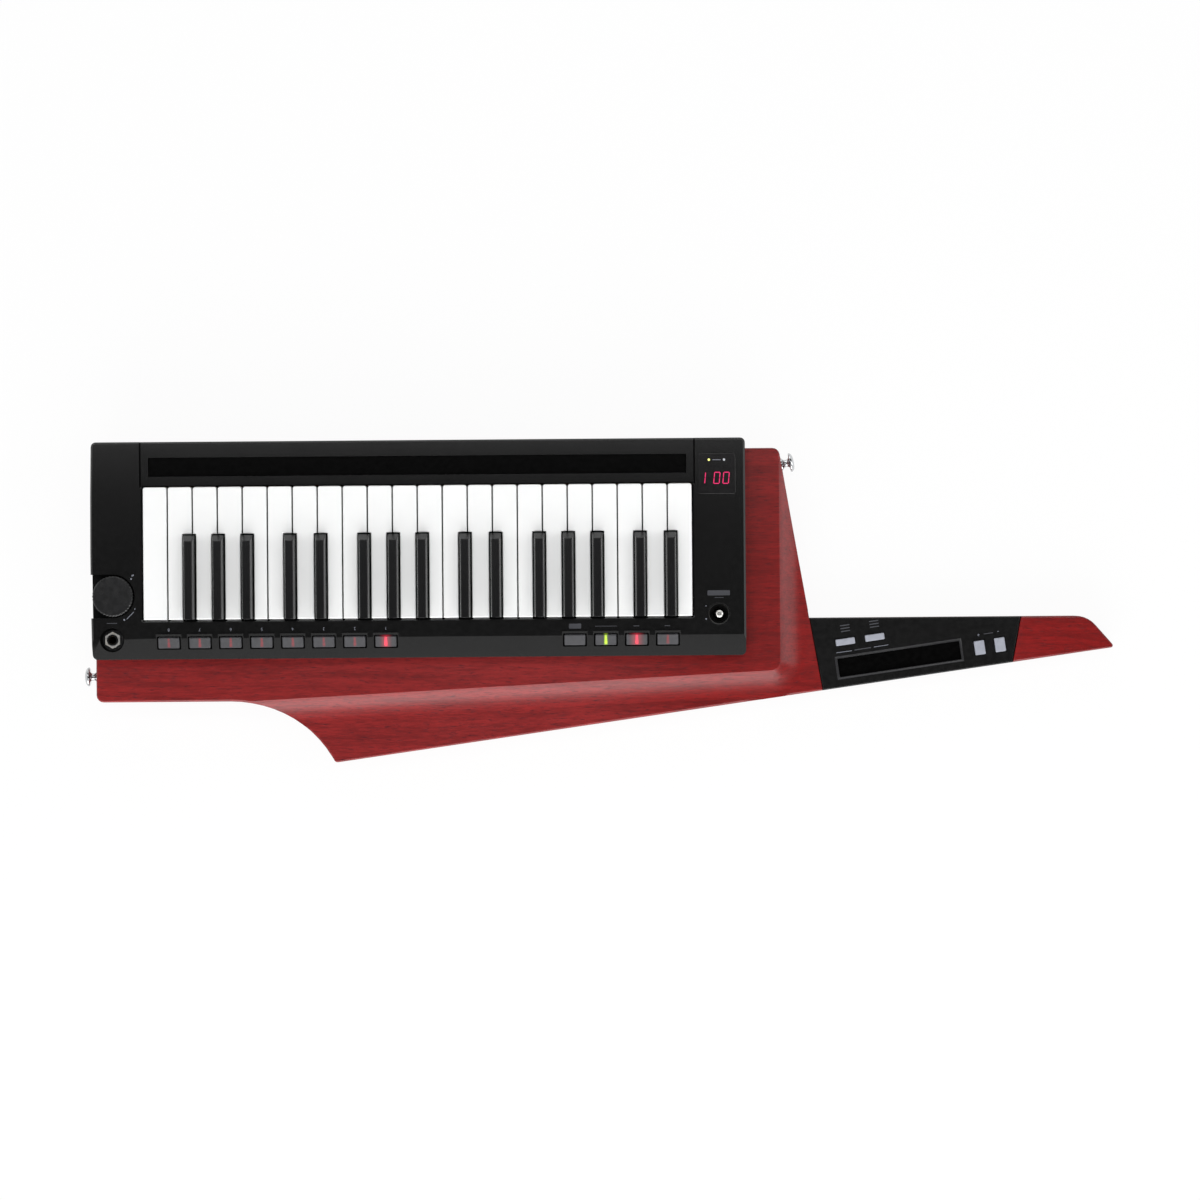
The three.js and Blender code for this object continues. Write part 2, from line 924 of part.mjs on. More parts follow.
// A black key: straight below, then tapered to its sides and front
function blackKeyGeometry() {
  const side = blackKey.width * half;
  const bevelled = (width, length) => {
    const cornerCut = blackKey.cornerCut;
    return [
      point(-width, 0),
      point(width, 0),
      point(width, length - cornerCut),
      point(width - cornerCut, length),
      point(cornerCut - width, length),
      point(-width, length - cornerCut),
    ];
  };
  const top = keyTop + blackKey.rise;
  const narrow = side - blackKey.sideSlope;
  const short = blackKey.length - blackKey.frontSlope;
  const body = loft([
    [bevelled(side, blackKey.length), keyBottom],
    [bevelled(side, blackKey.length), keyTop + blackKey.skirt],
    [bevelled(narrow, short), top - blackKey.chamfer],
    [bevelled(narrow - blackKey.chamfer, short - blackKey.chamfer), top],
  ]);
  return join(body, keyTailGeometry(-side, side));
}

function addKeys() {
  for (let white = 0; white < whiteKey.count; white += 1) {
    const x = noteX(white + half);
    const name = `white_key_${String(white + 1).padStart(2, "0")}`;
    addPart(name, whiteKeyGeometry(x), materials.whitePlastic).position.set(x, keyRear, 0);
  }
  blackKeyPlaces.forEach((x, index) => {
    const name = `black_key_${String(index + 1).padStart(2, "0")}`;
    addPart(name, blackKeyGeometry(), materials.blackPlastic).position.set(x, keyRear, 0);
  });
}

// The chassis: a plate with the keys' rail, a front stop and the shelf under the apron's buttons
function keyFrameGeometry() {
  const x = wellLength * half - keyFrame.inset;
  const low = caseBase + seatGap;
  const floor = low + keyFrame.thickness;
  const rear = caseRear + caseBox.wall + keyFrame.inset;
  const front = wellFront - keyFrame.inset;
  const base = plate(rectangle(-x, rear, x, front), low, floor);
  const rail = bar(
    rectangle(
      railY - keyFrame.railWidth * half,
      low,
      railY + keyFrame.railWidth * half,
      keyBottom - seatGap,
    ),
    -x,
    x,
  );
  const stop = plate(
    rectangle(-x, front - keyFrame.stopWidth, x, front),
    low,
    floor + keyFrame.stopRise,
  );
  const shelfTop = -caseButton.roof - seatGap - caseButton.flange - caseButton.travel - seatGap;
  const shelf = onApron(
    plate(
      centredRectangle(2 * x, caseButton.width),
      shelfTop - caseButton.shelf,
      shelfTop,
    ).translate(0, -caseButton.belowCrease, 0),
  );
  const shelfWeb = bar(
    rectangle(
      crease - caseButton.belowCrease - caseButton.shelf * half,
      low,
      crease - caseButton.belowCrease + caseButton.shelf * half,
      caseTop + shelfTop - caseButton.shelf,
    ),
    -x,
    x,
  );
  return join(base, rail, stop, shelf, shelfWeb);
}

// A button cap with the flange that keeps it in its window
function capGeometry(size, roof, style) {
  const outline = centredRectangle(size.length, size.width, style.cornerRadius);
  const flangeTop = -roof - seatGap;
  const cap = chamferedPlate(outline, flangeTop - style.flange, style.proud, style.chamfer);
  const flange = plate(inset(outline, -style.flangeLip), flangeTop - style.flange, flangeTop);
  return join(cap, flange);
}

// The eight program caps are moulded on one comb
function programComb() {
  const places = Array.from({ length: programButtonCount }, (_, index) => index * caseButton.pitch);
  const caps = places.map((x) => capGeometry(caseButton, caseButton.roof, caseButton).translate(x, 0, 0));
  const flangeTop = -caseButton.roof - seatGap;
  const spine = plate(
    rectangle(0, -caseButton.width / 6, places[places.length - 1], caseButton.width / 6),
    flangeTop - caseButton.flange,
    flangeTop,
  );
  return join(spine, ...caps);
}

function addCaseButtons() {
  const comb = addPart("program_buttons", programComb(), materials.greyRubber, apronFrame);
  comb.position.set(programButtonX(0), -caseButton.belowCrease, 0);
  for (let index = 0; index < functionButtonCount; index += 1) {
    const cap = capGeometry(caseButton, caseButton.roof, caseButton);
    const button = addPart(`function_button_${index + 1}`, cap, materials.greyRubber, apronFrame);
    button.position.set(functionButtonX(index), -caseButton.belowCrease, 0);
  }
}

// The ribbed knob on its spindle
function knobGeometry() {
  const outline = Array.from({ length: 2 * knob.ribCount }, (_, step) =>
    point(knob.radius - (step % 2) * knob.ribDepth, 0).rotateAround(
      point(0, 0),
      (fullTurn * step) / (2 * knob.ribCount),
    ),
  );
  const low = knobRecessFloor + seatGap;
  const body = chamferedPlate(outline, low, caseTop + knob.proud, knob.chamfer);
  const spindleEnd = knobRecessFloor - knob.spindleLength;
  return join(body, plate(circle(knob.spindleRadius), spindleEnd, low + knob.chamfer));
}

// A hexagonal nut, a collar above it and a barrel below it, with a blind bore
function jackGeometry() {
  const nutRadius = jack.nutFlats * half / Math.cos(fullTurn / 12);
  const nut = plate(circle(nutRadius, 6), jackSeat + seatGap, jackSeat + seatGap + jack.nutHeight);
  nut.rotateZ(fullTurn / 12);
  const barrelTop = jackSeat + seatGap + jack.nutHeight + jack.collarRise;
  const barrel = plate(circle(jack.collarRadius), jackLow, barrelTop);
  const bore = plate(circle(jack.boreRadius), jackLow + jack.floor, barrelTop + overrun);
  return cut(join(nut, barrel), bore);
}

// The spring-centred lever: a ball in its socket, a thin stem and a thicker tip
function leverGeometry() {
  const top = caseTop + lever.proud;
  const neckHeight = Math.sqrt(lever.ballRadius ** 2 - lever.stemRadius ** 2);
  const ballShares = [-1, -0.8, -0.4, 0, 0.45];
  const ball = ballShares.map((share) => [
    lever.ballRadius * Math.sqrt(1 - share ** 2),
    leverPivot + lever.ballRadius * share,
  ]);
  const tipEdge = lever.tipRadius / 3;
  const profile = [
    ...ball,
    [lever.stemRadius, leverPivot + neckHeight],
    [lever.stemRadius, top - lever.tipLength],
    [lever.tipRadius, top - lever.tipLength + tipEdge],
    [lever.tipRadius, top - tipEdge],
    [lever.tipRadius - tipEdge, top],
    [0, top],
  ];
  return turned(profile, stepsRound(lever.ballRadius));
}

// A flat plate that covers the works from behind, with an opening for the battery door
function backCoverGeometry() {
  const cover = plate(
    centredRectangle(backCover.length, backCover.width, backCover.cornerRadius),
    0,
    backCover.thickness,
  );
  return cut(cover, plate(batteryOutline(0), -overrun, overrun));
}

// The door lies flush in the cover, with a finger grip in its loose edge
function batteryDoorGeometry() {
  const door = plate(batteryOutline(seatGap), 0, backCover.thickness);
  const grip = plate(
    centredRectangle(battery.gripLength, battery.gripWidth, battery.cornerRadius),
    -overrun,
    battery.gripDepth,
  );
  grip.translate(batteryX, battery.gripWidth - battery.width * half, 0);
  return cut(door, grip);
}

function neckPanelGeometry() {
  const low = -neckPanel.thickness;
  const intoNeckFrame = neckFrame.matrix.clone().invert();
  const outline = neckPanelOutline().map((corner) => {
    const local = new THREE.Vector3(corner.x, corner.y, wood.neckThickness).applyMatrix4(intoNeckFrame);
    return point(local.x, local.y);
  });
  const shell = chamferedPlate(outline, low, 0, neckPanel.chamfer);
  const frameOutline = centredRectangle(
    shortRibbon.length + 2 * shortRibbon.frame,
    shortRibbon.width + 2 * shortRibbon.frame,
  );
  const frame = stack(frameOutline, [
    [low, 0],
    [0, 0],
    [shortRibbon.frameRise, shortRibbon.frameSlope],
  ]).translate(shortRibbon.along, shortRibbon.across, 0);
  const slot = plate(
    centredRectangle(shortRibbon.length + 2 * seatGap, shortRibbon.width + 2 * seatGap),
    low - overrun,
    overrun,
  ).translate(shortRibbon.along, shortRibbon.across, 0);
  const windows = neckButtonRows.flatMap(({ size }) =>
    Array.from({ length: neckButtonPairs }, (_, index) =>
      plate(
        centredRectangle(
          size.length + 2 * neckButton.gap,
          size.width + 2 * neckButton.gap,
          neckButton.cornerRadius,
        ),
        low - overrun,
        overrun,
      ).translate(size.along + index * size.pitch, size.across, 0),
    ),
  );
  return cut(join(shell, frame), slot, ...windows);
}

function addNeck() {
  addPart("neck_panel", neckPanelGeometry(), materials.blackPlate, neckFrame);
  const ribbon = plate(
    centredRectangle(shortRibbon.length, shortRibbon.width),
    -neckPanel.thickness,
    shortRibbon.thickness - neckPanel.thickness,
  );
  const ribbonMesh = addPart("short_ribbon", ribbon, materials.glossBlack, neckFrame);
  ribbonMesh.position.set(shortRibbon.along, shortRibbon.across, 0);
  neckButtonRows.forEach(({ name, size }) => {
    for (let index = 0; index < neckButtonPairs; index += 1) {
      const cap = capGeometry(size, neckPanel.thickness, neckButton);
      const button = addPart(`${name}_${index + 1}`, cap, materials.silverPlastic, neckFrame);
      button.position.set(size.along + index * size.pitch, size.across, 0);
    }
  });
}

// A strap pin standing on Z: a flange, a waisted neck and a domed head with a flat crown
function strapPinGeometry() {
  const headLow = strapPin.length - strapPin.headThickness;
  const rim = headLow + strapPin.headThickness * 0.35;
  const dome = Array.from({ length: strapPin.domeSteps + 1 }, (_, step) => {
    const turn = ((fullTurn / 4) * step) / strapPin.domeSteps;
    const reach = strapPin.headRadius - strapPin.flatRadius;
    return [
      strapPin.flatRadius + reach * Math.cos(turn),
      rim + (strapPin.length - rim) * Math.sin(turn),
    ];
  });
  const profile = [
    [0, 0],
    [strapPin.flangeRadius, 0],
    [strapPin.flangeRadius, strapPin.flangeThickness],
    [strapPin.shoulderRadius, strapPin.flangeThickness * 2],
    [strapPin.neckRadius, headLow * half],
    [strapPin.neckRadius, headLow - strapPin.flangeThickness],
    [strapPin.shoulderRadius, headLow],
    ...dome,
    [0, strapPin.length],
  ];
  return turned(profile, stepsRound(strapPin.headRadius));
}

function addStrapPins() {
  const height = wood.thickness * half;
  const tail = addPart("tail_strap_pin", strapPinGeometry(), materials.nickel);
  tail.rotation.y = -fullTurn / 4;
  tail.position.set(woodLeft - seatGap, caseRear - tailPinFromCase, height);
  const holder = new THREE.Group();
  const pinY = woodFront - shoulderPinBelowTop;
  holder.position.set(rightEdgeX(pinY), pinY, height);
  holder.rotation.z = wood.edgeAngle * degree;
  const shoulder = addPart("shoulder_strap_pin", strapPinGeometry(), materials.nickel, holder);
  shoulder.rotation.y = fullTurn / 4;
  shoulder.position.x = seatGap;
  keytar.add(holder);
}

addPart("wooden_body", woodenBody(), materials.redWood);
addPart("back_cover", backCoverGeometry(), materials.blackPlate);
addPart("battery_door", batteryDoorGeometry(), materials.blackPlastic);
addPart("front_case", frontCase(), materials.blackCase);
addPart("key_frame", keyFrameGeometry(), materials.greyPlastic);
addKeys();
addCaseButtons();
addPart("volume_knob", knobGeometry(), materials.blackPlastic).position.set(knobX, knobY, 0);
addPart("phones_jack", jackGeometry(), materials.nickel).position.set(jackX, jackY, 0);
addPart("value_lever", leverGeometry(), materials.nickel).position.set(leverX, leverY, 0);
const displayGlass = plate(
  centredRectangle(displayLength, display.width, display.cornerRadius),
  caseTop - display.thickness,
  caseTop,
);
addPart("display_window", displayGlass, materials.glossBlack).position.set(displayX, displayY, 0);
const longRibbonStrip = plate(
  centredRectangle(longRibbon.length, longRibbon.width),
  bayTop - longRibbon.slotDepth + seatGap,
  bayTop - longRibbon.slotDepth + seatGap + longRibbon.thickness,
);
addPart("long_ribbon", longRibbonStrip, materials.glossBlack).position.set(0, longRibbonY, 0);
addNeck();
addStrapPins();

export default keytar;
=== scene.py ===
"""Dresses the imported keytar: refined surfaces, finishes, printed marks, lamps, light and camera.

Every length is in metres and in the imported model's frame: +X runs towards the neck, +Y towards the
front edges of the keys and +Z out of the keyboard, with the flat back on the floor.
"""

import json
import logging
import math
from collections.abc import Callable, Iterable, Sequence
from dataclasses import dataclass, field, replace
from enum import Enum

import bmesh
import bpy
from mathutils import Matrix, Vector

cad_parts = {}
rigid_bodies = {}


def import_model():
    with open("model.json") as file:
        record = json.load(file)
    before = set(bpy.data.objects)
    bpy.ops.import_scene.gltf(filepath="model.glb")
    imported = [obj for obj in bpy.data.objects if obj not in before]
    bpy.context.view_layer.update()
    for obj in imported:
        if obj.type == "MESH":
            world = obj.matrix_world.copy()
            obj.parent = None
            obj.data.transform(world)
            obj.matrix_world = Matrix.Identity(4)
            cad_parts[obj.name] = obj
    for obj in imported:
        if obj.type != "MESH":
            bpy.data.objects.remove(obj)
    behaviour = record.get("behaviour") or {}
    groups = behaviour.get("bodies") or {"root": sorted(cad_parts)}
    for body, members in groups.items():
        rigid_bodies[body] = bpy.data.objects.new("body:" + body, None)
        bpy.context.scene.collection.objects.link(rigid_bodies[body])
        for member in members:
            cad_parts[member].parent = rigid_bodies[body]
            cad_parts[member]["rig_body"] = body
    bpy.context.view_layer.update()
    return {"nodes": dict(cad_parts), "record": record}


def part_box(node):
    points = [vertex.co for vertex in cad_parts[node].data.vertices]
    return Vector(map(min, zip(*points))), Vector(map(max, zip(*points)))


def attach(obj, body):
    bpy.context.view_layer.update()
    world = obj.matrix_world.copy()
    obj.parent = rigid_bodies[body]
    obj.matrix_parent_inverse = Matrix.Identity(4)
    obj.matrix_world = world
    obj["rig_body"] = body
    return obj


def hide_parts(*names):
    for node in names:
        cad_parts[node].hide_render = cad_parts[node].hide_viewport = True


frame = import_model()

LOG = logging.getLogger("keytar")
MM = 0.001
FIXED_BODY = "instrument"

# The case's surface: flat up to the crease, then sloping down as the apron
CASE_TOP = 57.0 * MM
CASE_CREASE = -71.9 * MM
APRON_ANGLE = math.radians(18)

# The row of program caps, from the first one at the left
PROGRAMS = 8
FIRST_CAP = -204.0 * MM
CAP_PITCH = 25.35 * MM

# How near two corners of a made shape are when they become one
WELD = 1e-6

# How much of a font's size the height of a figure takes
FIGURE_SHARE = 0.72

Colour = tuple[float, float, float]
Feed = bpy.types.NodeSocket | float | Sequence[float]
FaceTest = Callable[[bmesh.types.BMFace], bool]
Place = tuple[float, float]

VECTOR_SOCKET = "NodeSocketVector"
FLOAT_SOCKET = "NodeSocketFloat"


def tint(red: int, green: int, blue: int) -> Colour:
    """Turns an 8-bit display colour into the linear colour that a shader takes.

    Args:
        red: Red, 0 to 255.
        green: Green, 0 to 255.
        blue: Blue, 0 to 255.

    Returns:
        The linear colour.
    """
    shares = (red / 255, green / 255, blue / 255)
    return tuple(s / 12.92 if s <= 0.04045 else ((s + 0.055) / 1.055) ** 2.4 for s in shares)


@dataclass
class Wiring:
    """Adds nodes to one node tree and joins their sockets."""

    tree: bpy.types.NodeTree

    def node(
        self, kind: str, inputs: dict[str | int, Feed] | None = None, **settings: object
    ) -> bpy.types.Node:
        """Adds a node.

        Args:
            kind: The node's Blender type.
            inputs: What feeds its sockets, by name or number.
            **settings: The node's own options.

        Returns:
            The new node.
        """
        made = self.tree.nodes.new(kind)
        for name, value in settings.items():
            setattr(made, name, value)
        for name, value in (inputs or {}).items():
            self.feed(made.inputs[name], value)
        return made

    def feed(self, socket: bpy.types.NodeSocket, value: Feed) -> None:
        """Joins a socket to another one, or sets its value."""
        if isinstance(value, bpy.types.NodeSocket):
            self.tree.links.new(value, socket)
        elif socket.type == "RGBA" and len(value) == 3:
            socket.default_value = (*value, 1)
        else:
            socket.default_value = value

    def math(self, operation: str, first: Feed, second: Feed = 0.0) -> bpy.types.NodeSocket:
        """Adds a Math node and returns its result."""
        made = self.node("ShaderNodeMath", {0: first, 1: second}, operation=operation)
        return made.outputs[0]

    def span(
        self, value: Feed, low: float, high: float, to_low: float = 0.0, to_high: float = 1.0
    ) -> bpy.types.NodeSocket:
        """Maps a range of values onto another one, smoothly.

        Args:
            value: The value that varies.
            low: Its lowest value.
            high: Its highest value.
            to_low: What the lowest becomes.
            to_high: What the highest becomes.

        Returns:
            The mapped value.
        """
        inputs = {0: value, 1: low, 2: high, 3: to_low, 4: to_high}
        made = self.node("ShaderNodeMapRange", inputs, interpolation_type="SMOOTHSTEP")
        return made.outputs[0]

    def mix(self, share: Feed, first: Feed, second: Feed) -> bpy.types.NodeSocket:
        """Mixes two colours and returns the mixed one."""
        made = self.node("ShaderNodeMix", data_type="RGBA")
        self.feed(made.inputs[0], share)
        self.feed(made.inputs[6], first)
        self.feed(made.inputs[7], second)
        return made.outputs[2]

    def stretched(
        self, vector: Feed, scale: Sequence[float], turn: float = 0.0
    ) -> bpy.types.NodeSocket:
        """Scales a position along its axes.

        Args:
            vector: The position.
            scale: The factor along each axis.
            turn: Turn about Z, in radians, before the scale.

        Returns:
            The new position.
        """
        inputs = {"Vector": vector, "Rotation": (0, 0, -turn)}
        turned = self.node("ShaderNodeMapping", inputs, vector_type="POINT")
        made = self.node("ShaderNodeMapping", {"Vector": turned.outputs[0], "Scale": scale})
        return made.outputs[0]

    def noise(
        self, vector: Feed, scale: Feed, detail: float = 3.0, roughness: float = 0.5
    ) -> bpy.types.NodeSocket:
        """Adds a noise texture and returns its value."""
        inputs = {"Vector": vector, "Scale": scale, "Detail": detail, "Roughness": roughness}
        return self.node("ShaderNodeTexNoise", inputs).outputs["Fac"]

    def position(self) -> bpy.types.NodeSocket:
        """The position on the object, in metres."""
        return self.node("ShaderNodeTexCoord").outputs["Object"]


class Effects:
    """The surface effects that several materials share, each a node group built once."""

    def __init__(self) -> None:
        """Builds the groups."""
        self.grain = self._group(
            "moulded_grain",
            {"Vector": VECTOR_SOCKET, "Fineness": FLOAT_SOCKET, "Cloud": FLOAT_SOCKET},
            {"Height": FLOAT_SOCKET, "Clouding": FLOAT_SOCKET},
            self._fill_grain,
        )
        self.handling = self._group(
            "handling_marks",
            {"Vector": VECTOR_SOCKET, "Size": FLOAT_SOCKET},
            {"Mask": FLOAT_SOCKET},
            self._fill_handling,
        )
        self.wear = self._group(
            "edge_wear",
            {"Vector": VECTOR_SOCKET, "Amount": FLOAT_SOCKET},
            {"Mask": FLOAT_SOCKET},
            self._fill_wear,
        )
        self.lines = self._group(
            "fine_lines",
            {"Vector": VECTOR_SOCKET, "Along": VECTOR_SOCKET},
            {"Height": FLOAT_SOCKET},
            self._fill_lines,
        )

    @staticmethod
    def _group(
        name: str,
        inputs: dict[str, str],
        outputs: dict[str, str],
        fill: Callable[[Wiring, bpy.types.Node, bpy.types.Node], None],
    ) -> bpy.types.NodeTree:
        """Builds one node group.

        Args:
            name: The group's name.
            inputs: Its input sockets and their types.
            outputs: Its output sockets and their types.
            fill: Adds what is inside, between the group's input and output nodes.

        Returns:
            The group.
        """
        tree = bpy.data.node_groups.new(name, "ShaderNodeTree")
        for socket, kind in inputs.items():
            tree.interface.new_socket(name=socket, in_out="INPUT", socket_type=kind)
        for socket, kind in outputs.items():
            tree.interface.new_socket(name=socket, in_out="OUTPUT", socket_type=kind)
        fill(Wiring(tree), tree.nodes.new("NodeGroupInput"), tree.nodes.new("NodeGroupOutput"))
        return tree

    @staticmethod
    def _fill_grain(wiring: Wiring, entry: bpy.types.Node, leave: bpy.types.Node) -> None:
        """Fine moulded texture, and the slow clouding of a moulded surface."""
        vector = entry.outputs["Vector"]
        relief = wiring.noise(vector, entry.outputs["Fineness"], 2.0)
        clouds = wiring.noise(vector, entry.outputs["Cloud"], 4.0, 0.6)
        wiring.feed(leave.inputs["Height"], relief)
        wiring.feed(leave.inputs["Clouding"], clouds)

    @staticmethod
    def _fill_handling(wiring: Wiring, entry: bpy.types.Node, leave: bpy.types.Node) -> None:
        """Patches where fingers have changed the gloss."""
        patches = wiring.noise(entry.outputs["Vector"], entry.outputs["Size"], 2.0)
        streaked = wiring.stretched(entry.outputs["Vector"], (140, 420, 300), 0.4)
        streaks = wiring.noise(streaked, 1.0, 4.0, 0.7)
        touched = wiring.span(patches, 0.42, 0.68)
        worn = wiring.math("MULTIPLY", touched, wiring.span(streaks, 0.3, 0.75))
        wiring.feed(leave.inputs["Mask"], worn)

    @staticmethod
    def _fill_wear(wiring: Wiring, entry: bpy.types.Node, leave: bpy.types.Node) -> None:
        """The bevelled edges of a piece, broken up by noise."""
        edge = wiring.node("ShaderNodeAttribute", attribute_name="edge").outputs["Fac"]
        speckle = wiring.noise(entry.outputs["Vector"], 260.0, 3.0)
        broken = wiring.math("MULTIPLY", edge, wiring.span(speckle, 0.3, 0.7, 0.35, 1.0))
        mask = wiring.math("MULTIPLY", broken, entry.outputs["Amount"])
        wiring.feed(leave.inputs["Mask"], mask)

    @staticmethod
    def _fill_lines(wiring: Wiring, entry: bpy.types.Node, leave: bpy.types.Node) -> None:
        """Fine lines, as on a ribbed cap; Along scales the position across them."""
        across = wiring.node(
            "ShaderNodeVectorMath",
            {0: entry.outputs["Vector"], 1: entry.outputs["Along"]},
            operation="MULTIPLY",
        )
        wiring.feed(leave.inputs["Height"], wiring.noise(across.outputs[0], 1.0, 2.0, 0.4))

    def place(
        self, wiring: Wiring, tree: bpy.types.NodeTree, inputs: dict[str, Feed]
    ) -> dict[str, bpy.types.NodeSocket]:
        """Places a group in a material.

        Args:
            wiring: The material's wiring.
            tree: The group.
            inputs: What feeds the group.

        Returns:
            The group's outputs by name.
        """
        made = wiring.tree.nodes.new("ShaderNodeGroup")
        made.node_tree = tree
        for name, value in inputs.items():
            wiring.feed(made.inputs[name], value)
        return {socket.name: socket for socket in made.outputs}


def start_material(name: str) -> tuple[bpy.types.Material, Wiring, bpy.types.Node]:
    """Makes a material with a plain shader.

    Args:
        name: The material's name.

    Returns:
        The material, its wiring and its Principled shader.
    """
    material = bpy.data.materials.new(name)
    material.use_nodes = True
    return material, Wiring(material.node_tree), material.node_tree.nodes["Principled BSDF"]


@dataclass(frozen=True)
class Ribs:
    """Fine parallel ribs on a moulded face.

    Attributes:
        scale: How often they repeat along each axis, per metre.
        depth: Their depth.
    """

    scale: tuple[float, float, float]
    depth: float


@dataclass(frozen=True)
class CapLamp:
    """A lamp strip that shines through a button cap, or a row of them.

    Attributes:
        first: The first strip's place along X.
        pitch: The distance to the next strip, or 0 for one strip alone.
        middle: The middle of the caps along Y.
        colour: The colour of the light.
        tinted: How far the strip tints the cap when its lamp is off.
        strength: How strong the strip shines.
        spread: How far its light spreads through the cap, or 0.
        reach: How far the strip runs up and down from its middle.
        widths: Half its width at its upper and lower end.
        fade: Where its ends start to fade and where they are gone, from its middle.
    """

    first: float
    pitch: float
    middle: float
    colour: Colour
    tinted: float
    strength: float
    spread: float = 0.0
    reach: float = 3.5 * MM
    widths: Place = (0.85 * MM, 1.15 * MM)
    fade: Place = (2.8 * MM, 4.3 * MM)

    def masks(
        self, wiring: Wiring, position: bpy.types.NodeSocket
    ) -> tuple[bpy.types.NodeSocket, bpy.types.NodeSocket]:
        """Marks the strip and the light that spreads from it.

        Args:
            wiring: The material's wiring.
            position: The position on the caps.

        Returns:
            The masks of the strip and of the spread light.
        """
        split = wiring.node("ShaderNodeSeparateXYZ", {0: position}).outputs
        along = wiring.math("SUBTRACT", split["X"], self.first)
        away = wiring.math("ABSOLUTE", along)
        if self.pitch:
            away = wiring.math("PINGPONG", along, self.pitch / 2)
        down = wiring.math("SUBTRACT", self.middle, split["Y"])
        width = wiring.span(down, -self.reach, self.reach, *self.widths)
        strip = wiring.span(wiring.math("DIVIDE", away, width), 0.35, 1.5, 1.0, 0.0)
        ends = wiring.span(wiring.math("ABSOLUTE", down), *self.fade, 1.0, 0.0)
        cells = wiring.noise(wiring.stretched(position, (500, 900, 900)), 1.0, 1.0)
        lively = wiring.math("MULTIPLY", ends, wiring.span(cells, 0.3, 0.6, 0.55, 1.0))
        halo = wiring.math("POWER", wiring.span(away, 0.0, max(self.spread, MM), 1.0, 0.0), 1.6)
        return wiring.math("MULTIPLY", strip, lively), halo


@dataclass(frozen=True)
class MouldedFinish:
    """A moulded plastic or rubber surface.

    Attributes:
        name: The material's name.
        colour: The main colour.
        roughness: How matt it is.
        grain: The size of its moulded texture.
        depth: The depth of its moulded texture.
        clouding: How far its tone varies.
        wear: How much its edges show wear.
        coat: How much gloss lies over it.
        ribs: Fine ribs, if it has any.
        lamps: Lamp strips that shine through it.
        sheen: How strongly it mirrors, 0.5 for common plastic.
        handled: How much glossier it is where fingers have been.
    """

    name: str
    colour: Colour
    roughness: float
    grain: float = 0.6 * MM
    depth: float = 0.02 * MM
    clouding: float = 0.12
    wear: float = 0.4
    coat: float = 0.0
    ribs: Ribs | None = None
    lamps: tuple[CapLamp, ...] = ()
    sheen: float = 0.5
    handled: float = 0.05

    def build(self, effects: Effects) -> bpy.types.Material:
        """Builds the material.

        Args:
            effects: The shared effects.

        Returns:
            The material.
        """
        material, wiring, shader = start_material(self.name)
        position = wiring.position()
        grain = effects.place(
            wiring, effects.grain, {"Vector": position, "Fineness": 1 / self.grain, "Cloud": 28.0}
        )
        marks = effects.place(wiring, effects.handling, {"Vector": position, "Size": 22.0})
        edges = effects.place(wiring, effects.wear, {"Vector": position, "Amount": self.wear})
        worn = edges["Mask"]
        dark = tuple(c * (1 - self.clouding) for c in self.colour)
        light = tuple(c * (1 + self.clouding) for c in self.colour)
        rubbed = tuple(min(1.0, c * 1.6 + 0.02) for c in self.colour)
        base = wiring.mix(wiring.span(grain["Clouding"], 0.3, 0.7), dark, light)
        base = self._light_up(wiring, shader, position, wiring.mix(worn, base, rubbed))
        wiring.feed(shader.inputs["Base Color"], base)
        gloss = wiring.math("MULTIPLY_ADD", marks["Mask"], -self.handled)
        gloss.node.inputs[2].default_value = self.roughness
        shinier = wiring.math("MULTIPLY", worn, -0.15)
        wiring.feed(shader.inputs["Roughness"], wiring.math("ADD", gloss, shinier))
        shader.inputs["Specular IOR Level"].default_value = self.sheen
        shader.inputs["Coat Weight"].default_value = self.coat
        shader.inputs["Coat Roughness"].default_value = 0.12
        height = wiring.node(
            "ShaderNodeBump", {"Height": grain["Height"], "Distance": self.depth, "Strength": 0.8}
        )
        if self.ribs:
            lines = effects.place(
                wiring, effects.lines, {"Vector": position, "Along": self.ribs.scale}
            )
            ribbed = {
                "Height": lines["Height"],
                "Distance": self.ribs.depth,
                "Strength": 1.0,
                "Normal": height.outputs[0],
            }
            height = wiring.node("ShaderNodeBump", ribbed)
        wiring.feed(shader.inputs["Normal"], height.outputs[0])
        return material

    def _light_up(
        self,
        wiring: Wiring,
        shader: bpy.types.Node,
        position: bpy.types.NodeSocket,
        base: bpy.types.NodeSocket,
    ) -> bpy.types.NodeSocket:
        """Adds the lamp strips behind the surface.

        Args:
            wiring: The material's wiring.
            shader: Its shader, which gets the light.
            position: The position on the surface.
            base: The colour without the strips.

        Returns:
            The colour with the strips' tint.
        """
        light = None
        for lamp in self.lamps:
            strip, halo = lamp.masks(wiring, position)
            base = wiring.mix(wiring.math("MULTIPLY", strip, lamp.tinted), base, lamp.colour)
            shining = wiring.math("MULTIPLY", strip, lamp.strength)
            if lamp.spread:
                around = wiring.math("MULTIPLY", halo, lamp.strength * 0.3)
                shining = wiring.math("ADD", shining, around)
            glow = wiring.mix(shining, (0, 0, 0), lamp.colour)
            if light:
                both = wiring.node("ShaderNodeVectorMath", {0: light, 1: glow}, operation="ADD")
                glow = both.outputs[0]
            light = glow
        if light:
            wiring.feed(shader.inputs["Emission Color"], light)
            shader.inputs["Emission Strength"].default_value = 1.0
        return base


